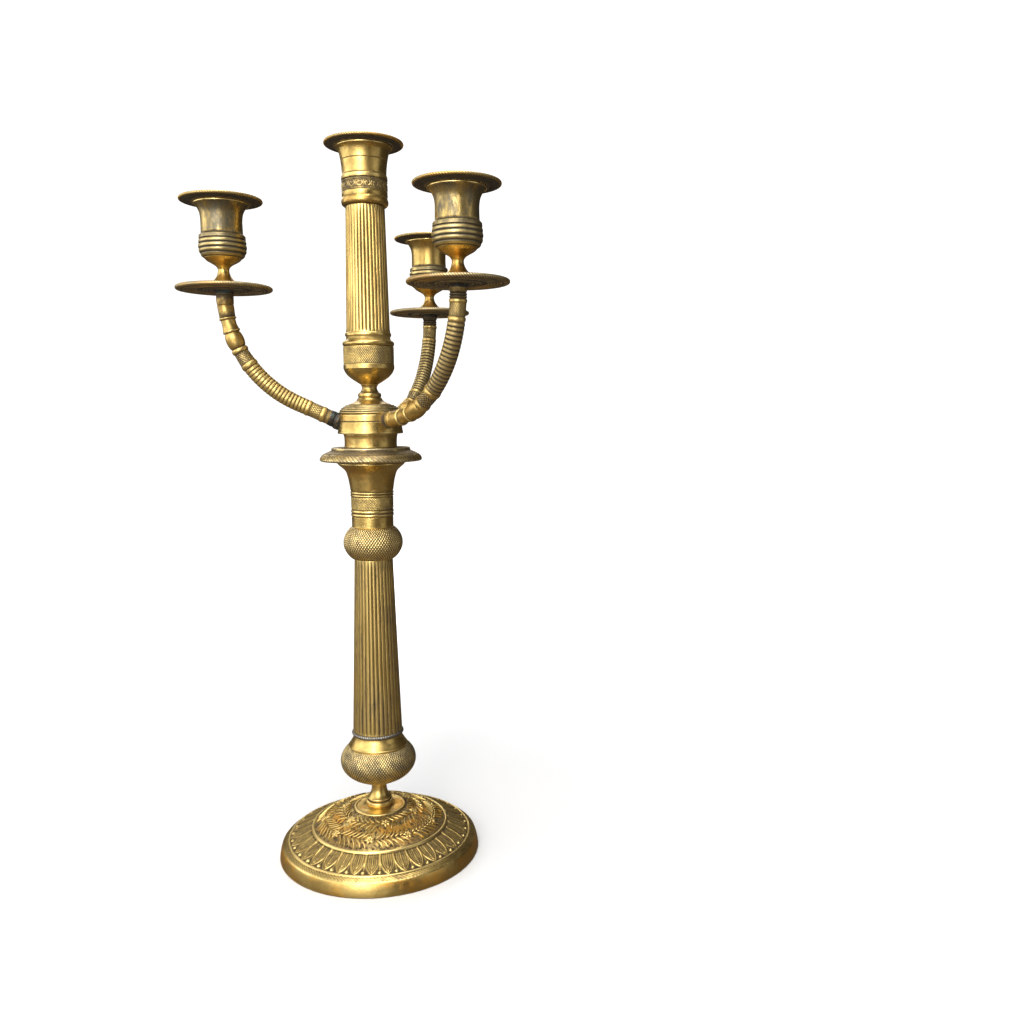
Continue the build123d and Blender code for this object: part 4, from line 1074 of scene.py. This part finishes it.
def arm_runs(length, rib_patina, end_grime_and_shade, scribe, barrel, ring, bell, ball_end, collar, band, gold,
             ribs_end, gold_2, band_2, gold_3):
    """Turned arm from its ringed end: barrel, ring, bell, ball, ring, band, ribs, band, rings, bulge.

    From scribe on, each argument is where a part ends, in mm from the ringed end.
    """
    runs = [
        Run([(0, 0), (5.5, 0)], patina=0.6),
        line((5.45, 4.1), patina=0.9, cavity=0.75),
        line((5.25, scribe - 0.3), (4.95, scribe), (5.25, scribe + 0.3), (5.05, barrel), patina=0.3),
        line((4.8, barrel + 0.2), patina=0.5, cavity=0.6),
        Run(bead(4.95, barrel + 0.2, ring, 0.6), patina=0.15),
        Run([(4.95, ring), (4.6, ring + 0.4)], patina=0.5, cavity=0.6),
        curve((4.65, bell - 5), (5.1, bell - 2.6), (5.55, bell - 1.2), (5.45, bell - 0.3), patina=0.3),
        groove((4.3, bell), cavity=0.6),
    ]
    reach = (ball_end - bell) / 2
    middle = (ball_end + bell) / 2
    tilts = np.linspace(-1.25, 1.25, 13)
    ball = [(4.0 + 1.8 * math.cos(a), middle + reach * math.sin(a) / math.sin(1.25)) for a in tilts]
    ribbed = ribs([(5.0, gold), (5.1, (gold + ribs_end) / 2), (4.95, ribs_end)], 18, 0.32, 8, 0.3)
    runs += [
        Run(ball, patina=0.15, cavity=-0.1, copper=0.4),
        Run([(ball[-1][0], ball_end), (4.8, ball_end + 0.3)], patina=0.6, cavity=0.6),
        Run(bead(4.85, ball_end + 0.3, collar, 0.65), patina=0.1, cavity=-0.1),
        Run([(4.85, collar), (4.75, collar + 0.3)], patina=0.5, cavity=0.5),
        line((5.15, band - 0.3), square=True, relief=knurl(20, 0.07, 0.3), patina=0.7),
        Run(bead(5.05, band - 0.3, gold - 0.2, 0.6), patina=0, cavity=-0.2),
        Run([(5.05, gold - 0.2), (5, gold)], patina=0.5, cavity=0.5),
        Run(ribbed, relief=banded(18), patina=rib_patina),
        Run(bead(4.9, ribs_end + 0.2, gold_2, 0.5), patina=0, cavity=-0.2),
        Run([(4.9, gold_2), (4.9, gold_2 + 0.3)], patina=0.5, cavity=0.5),
        line((4.95, band_2), square=True, relief=knurl(20, 0.08, 0.3), patina=0.55),
        Run(bead(4.9, band_2 + 0.2, gold_3, 0.5), patina=0, cavity=-0.2),
    ]
    if length - gold_3 > 3:
        dark = gold_3 + 3.2
        runs += [
            Run(ribs([(4.7, gold_3 + 0.2), (4.7, dark)], 2, 0.6), patina=0.95, cavity=0.8),
            # The bulge at the arm's far end is darkened by end_grime_and_shade: dirt at its joint and
            # painted shade there.
            Run(smooth((4.7, dark), (5.35, dark + 1.6), (5.55, dark + 3), (5.2, length - 0.8),
                (5, length)), patina=0.15 + end_grime_and_shade, cavity=end_grime_and_shade),
        ]
    else:
        rest = [(4.8, gold_3 + 0.2), (5, gold_3 + 0.5), (4.9, length)]
        runs.append(Run(rest, patina=0.9, cavity=0.4))
    runs.append(line((0, length), patina=0.6))
    return join(runs)


LONG_ARM = dict(
    scribe=9.0, barrel=17.4, ring=19.2, bell=29.4, ball_end=41.4, collar=45.2, band=54.8, gold=58.2,
    ribs_end=104.4, gold_2=107.4, band_2=114.9, gold_3=117.6,
)
SHORT_ARM = dict(
    scribe=6.4, barrel=14.0, ring=15.6, bell=24.2, ball_end=34.6, collar=38.0, band=45.8, gold=49.4,
    ribs_end=92.4, gold_2=95.8, band_2=102.8, gold_3=106.2,
)


def reverse_runs(runs, length):
    """The same outline end for end."""
    for run in runs:
        run.points = [(r, length - h) for r, h in reversed(run.points)]
    return runs[::-1]


def arm(name):
    """Arm from the hub to its pan: the reversed one is shorter, and a dark sleeve packs it off the hub."""
    axis, length = arm_axis(name)
    if name == REVERSED_ARM:
        packing = ARM_INSET + HUB_COLLAR_LENGTH
        rest = length - packing
        runs = reverse_runs(arm_runs(rest, 0.3, 0.0, **SHORT_ARM), rest)
        piece = turned(f"turned_{name}_arm", runs, 120, ARM_BRASS, lambda s: axis(s + packing))
        collar = [
            Run([(2.7, -1.6), (5.5, -1.6), (5.6, 0)], patina=0.8),
            curve((5.8, 2), (5.2, 3.8), (5.3, 5.6), (5.1, packing), step=0.5, relief=worn(0.12, 71, 0.3),
                patina=0.9),
            line((2.7, packing), patina=0.8),
        ]
        sleeve = turned(f"turned_{name}_hub_collar", collar, 72, DARK, axis)
        dress(sleeve, f"{name}_hub_collar", "branch")
    else:
        # How dark the far end of a long arm is: dirt and painted shade.
        grime_and_shade = 0.85 if name == "back" else 0.4
        runs = arm_runs(length, 0.85, grime_and_shade, **LONG_ARM)
        piece = turned(f"turned_{name}_arm", runs, 120, ARM_BRASS, axis)
    dress(piece, f"{name}_arm", "branch")


def light(name):
    """Collar, drip pan and cup at an arm's end. The back cup is the least tarnished."""
    centre = centre_of(f"{name}_candle_cup")
    collar_height = high_z(f"{name}_pan_collar") - low_z(f"{name}_pan_collar")
    runs = [
        Run([(SCREW_BORE, 0), (5.2, 0), (5.6, 0.5)], patina=0.8),
        curve((5.6, 1.4), (6.2, 2.2), (7, collar_height), relief=worn(0.08, 73, 0.3), patina=0.8),
        line((SCREW_BORE, collar_height), patina=0.8),
    ]
    turn_node(f"{name}_pan_collar", "branch", runs, 72, DARK, centre)
    pan_z = high_z(f"{name}_pan_collar") + 1.0
    runs = [
        Run([(SCREW_BORE, -1), (8, -1)], patina=0.9, cavity=0.5),
        Run(ribs([(8, -1), (14, -1)], 3, 0.35), patina=0.8, cavity=0.6),
        Run([(14, -1), (17, -0.8)], patina=0.8, cavity=0.7, copper=1),
        Run(ribs([(17, -0.8), (26, -0.9)], 5, 0.28), patina=0.75, cavity=0.7, copper=1),
        Run([(26, -0.9), (28.4, -1.2)], patina=0.7, cavity=0.55),
        curve((29.6, -1), (30.2, -0.2), (29.9, 0.8), (28.8, 1.3), (27.8, 1.1), steps=4,
            relief=twist(112, 0.45, 0.28, 0.8), patina=0.9, cavity=0.32, copper=0.4),
        curve((26.8, 0.5), (25.4, 0.4), patina=0.8),
        Run(ribs([(25.4, 0.4), (19.4, 0.45)], 4, 0.2), patina=0.7),
        Run([(19.4, 0.45), (12.2, 0.6), (11.2, 1.2), (10.6, 2.5)], step=1.5, relief=worn(0.03, 75),
            patina=0.45),
        line((SCREW_BORE, 2.5), (SCREW_BORE, -1), patina=0.7),
    ]
    turn_node(f"{name}_drip_pan", "branch", runs, 112 * 5, KNURLED, centre, pan_z)
    grey = 0.2 if name == "back" else 0.62
    bulb = smooth((12.0, 19.4), (13.7, 21.9), (14.45, 25.0), (14.35, 28.2), (14.0, 30.6))
    runs = [
        Run([(9.4, 2.5), (9.6, 2.9), (9.5, 3.5), (8.9, 3.9)], patina=0.7),
        line((7.6, 4.2), patina=0.5, cavity=0.3),
        curve((5.7, 6.2), (4.2, 8.6), (3.55, 10.9), (3.7, 12.6), (5, 14.3), (7.4, 15.8), (10, 17.3),
            (11.7, 18.9), step=0.8, relief=worn(0.03, 77), patina=0, copper=0.3),
        line((11.8, 19.4), (12, 19.4), patina=0.5, cavity=0.4),
        Run(ribs(bulb, 4, 0.55, 8, 0.6), relief=banded(4), patina=grey + 0.5, cavity=0.22),
        Run([(14, 30.6), (14.5, 30.9), (14.4, 32.9), (13.8, 33.6), (13.2, 33.9)], patina=0.8),
        line((13, 34.8), patina=0.4, cavity=0.4),
        curve((12.9, 39), (12.95, 43.6), (13.6, 47.4), (15.2, 50.6), (16.8, 52.4), step=0.8,
            relief=worn(0.06, 79), patina=grey),
        # The lip's edge is painted lighter by its cavity: a painted highlight along the edge.
        line((17.35, 52.2), (17.45, 52.9), (17.2, 53.3), patina=0, cavity=-0.6),
        line((SOCKET_BORE, 53.3), patina=0.5),
        bore((SOCKET_BORE, 28), (9.9, 26), (0, 26), (0, 17), (1.55, 17), (1.55, 2.5)),
    ]
    turn_node(f"{name}_candle_cup", "branch", runs, WIDE_SIDES, CUP_BRASS, centre, pan_z)


foot()
wreaths()
lower_stack()
column("lower_column", "candlestick", 16.9, 13.1, 0.0, 33, 27, 0.5, 2.8)
knop("upper_knop", 19.8, 15.5, 219.5, dots=64, patina=0.32)
nozzle()
loose_pan()
branch_centre()
for arm_name in ARM_NAMES:
    arm(arm_name)
    light(arm_name)
    candle_ring(arm_name, f"{arm_name}_candle_cup", 17.2)
candle_ring("top", "top_socket", 18.3)


# ---- studio
FLOOR_RADIUS = 1.4
FLOOR_SIDES = 96
MIDDLE = (0.0, 0.0, 0.25)
FOOT_BACK = (0.0, 0.0, 0.05)
WARM_WHITE = (1.0, 0.98, 0.95)
FLOOR_SEEN = (0.61, 0.61, 0.61)
GLOW_STARTS, GLOW_IS_FULL = 0.15, 0.8
CAMERA_PLACE = (-18.7, -614.9, 309.5)


def pale_floor():
    """Pale matt floor. The metal mirrors it as a darker table, and far from the object it glows white
    for the camera only, so that the soft shadow fades into white paper."""
    g = Graph("pale_floor")
    grain = g.noise(3.0, 2.0)
    pale = g.mix(grain, (0.90, 0.90, 0.90), (0.87, 0.87, 0.87))
    ray = g.add("ShaderNodeLightPath")
    seen = g.mix(ray.outputs["Is Camera Ray"], pale, FLOOR_SEEN)
    g.shade("Base Color", g.mix(ray.outputs["Is Glossy Ray"], seen, DARK_BROWN))
    away = g.add("ShaderNodeVectorMath", operation="LENGTH")
    g.feed(away.inputs[0], g.add("ShaderNodeTexCoord").outputs["Object"])
    paper = g.span(away.outputs["Value"], GLOW_STARTS, GLOW_IS_FULL)
    g.shade("Emission Color", (1.0, 1.0, 1.0, 1.0))
    g.shade("Emission Strength", g.times(paper, ray.outputs["Is Camera Ray"]))
    g.shade("Roughness", 0.6)
    return g.material


def floor():
    """Pale round floor under the object."""
    mesh = bpy.data.meshes.new("floor")
    turns = [TURN * k / FLOOR_SIDES for k in range(FLOOR_SIDES)]
    rim = [(FLOOR_RADIUS * math.cos(a), FLOOR_RADIUS * math.sin(a), 0) for a in turns]
    mesh.from_pydata(rim, [], [tuple(range(FLOOR_SIDES))])
    mesh.materials.append(pale_floor())
    plane = bpy.data.objects.new("floor", mesh)
    bpy.context.scene.collection.objects.link(plane)


def softbox(name, place, target, size, power, colour=(1.0, 1.0, 1.0)):
    """Rectangular studio light that faces the object."""
    lamp = bpy.data.lights.new(name, "AREA")
    lamp.shape = "RECTANGLE"
    lamp.size, lamp.size_y = size
    lamp.energy = power
    lamp.color = colour
    holder = bpy.data.objects.new(name, lamp)
    holder.location = place
    holder.rotation_mode = "QUATERNION"
    holder.rotation_quaternion = (Vector(target) - Vector(place)).to_track_quat("-Z", "Y")
    holder.visible_camera = False
    bpy.context.scene.collection.objects.link(holder)


def world():
    """Pale surroundings that light the floor, and a darker room for the metal to mirror."""
    made = bpy.data.worlds.new("studio")
    made.use_nodes = True
    tree = made.node_tree
    background = tree.nodes["Background"]
    ray = tree.nodes.new("ShaderNodeLightPath")
    last = None
    for kind, colour in (("Is Glossy Ray", (0.055, 0.048, 0.040)), ("Is Camera Ray", (1.18, 1.18, 1.18))):
        mix = tree.nodes.new("ShaderNodeMix")
        mix.data_type = "RGBA"
        tree.links.new(ray.outputs[kind], mix.inputs["Factor"])
        mix.inputs[6].default_value = (0.62, 0.62, 0.62, 1.0)
        mix.inputs[7].default_value = (*colour, 1.0)
        if last is not None:
            tree.links.new(last, mix.inputs[6])
        last = mix.outputs[2]
    tree.links.new(last, background.inputs["Color"])
    bpy.context.scene.world = made
    bpy.context.scene.view_settings.view_transform = "Standard"


def camera():
    """Camera close to the object, a little above its middle and looking slightly down."""
    yaw, pitch, roll = math.radians(10.65), math.radians(-6.57), math.radians(-0.38)
    data = bpy.data.cameras.new("camera")
    data.lens = 31.48
    data.sensor_width = 36.0
    data.clip_start = 0.01
    holder = bpy.data.objects.new("camera", data)
    aim = Vector((math.sin(yaw) * math.cos(pitch), math.cos(yaw) * math.cos(pitch), math.sin(pitch)))
    turn = aim.to_track_quat("-Z", "Y").to_matrix().to_4x4() @ Matrix.Rotation(roll, 4, "Z")
    holder.matrix_world = Matrix.Translation(Vector(CAMERA_PLACE) * MM) @ turn
    bpy.context.scene.collection.objects.link(holder)
    bpy.context.scene.camera = holder


floor()
world()
softbox("window", (-0.95, -1.65, 0.9), MIDDLE, (2.6, 1.7), 31.0, WARM_WHITE)
softbox("key", (-0.7, -1.7, 0.92), MIDDLE, (0.42, 1.6), 15.0, WARM_WHITE)
softbox("side", (-1.7, 0.2, 0.8), MIDDLE, (1.7, 1.5), 16.0)
softbox("fill", (1.45, -1.0, 0.6), MIDDLE, (1.1, 1.3), 2.6)
softbox("top", (-0.1, -0.4, 1.9), MIDDLE, (1.3, 1.7), 31.0)
softbox("back_top", (-0.2, 1.5, 1.15), FOOT_BACK, (1.6, 0.5), 7.0)
camera()
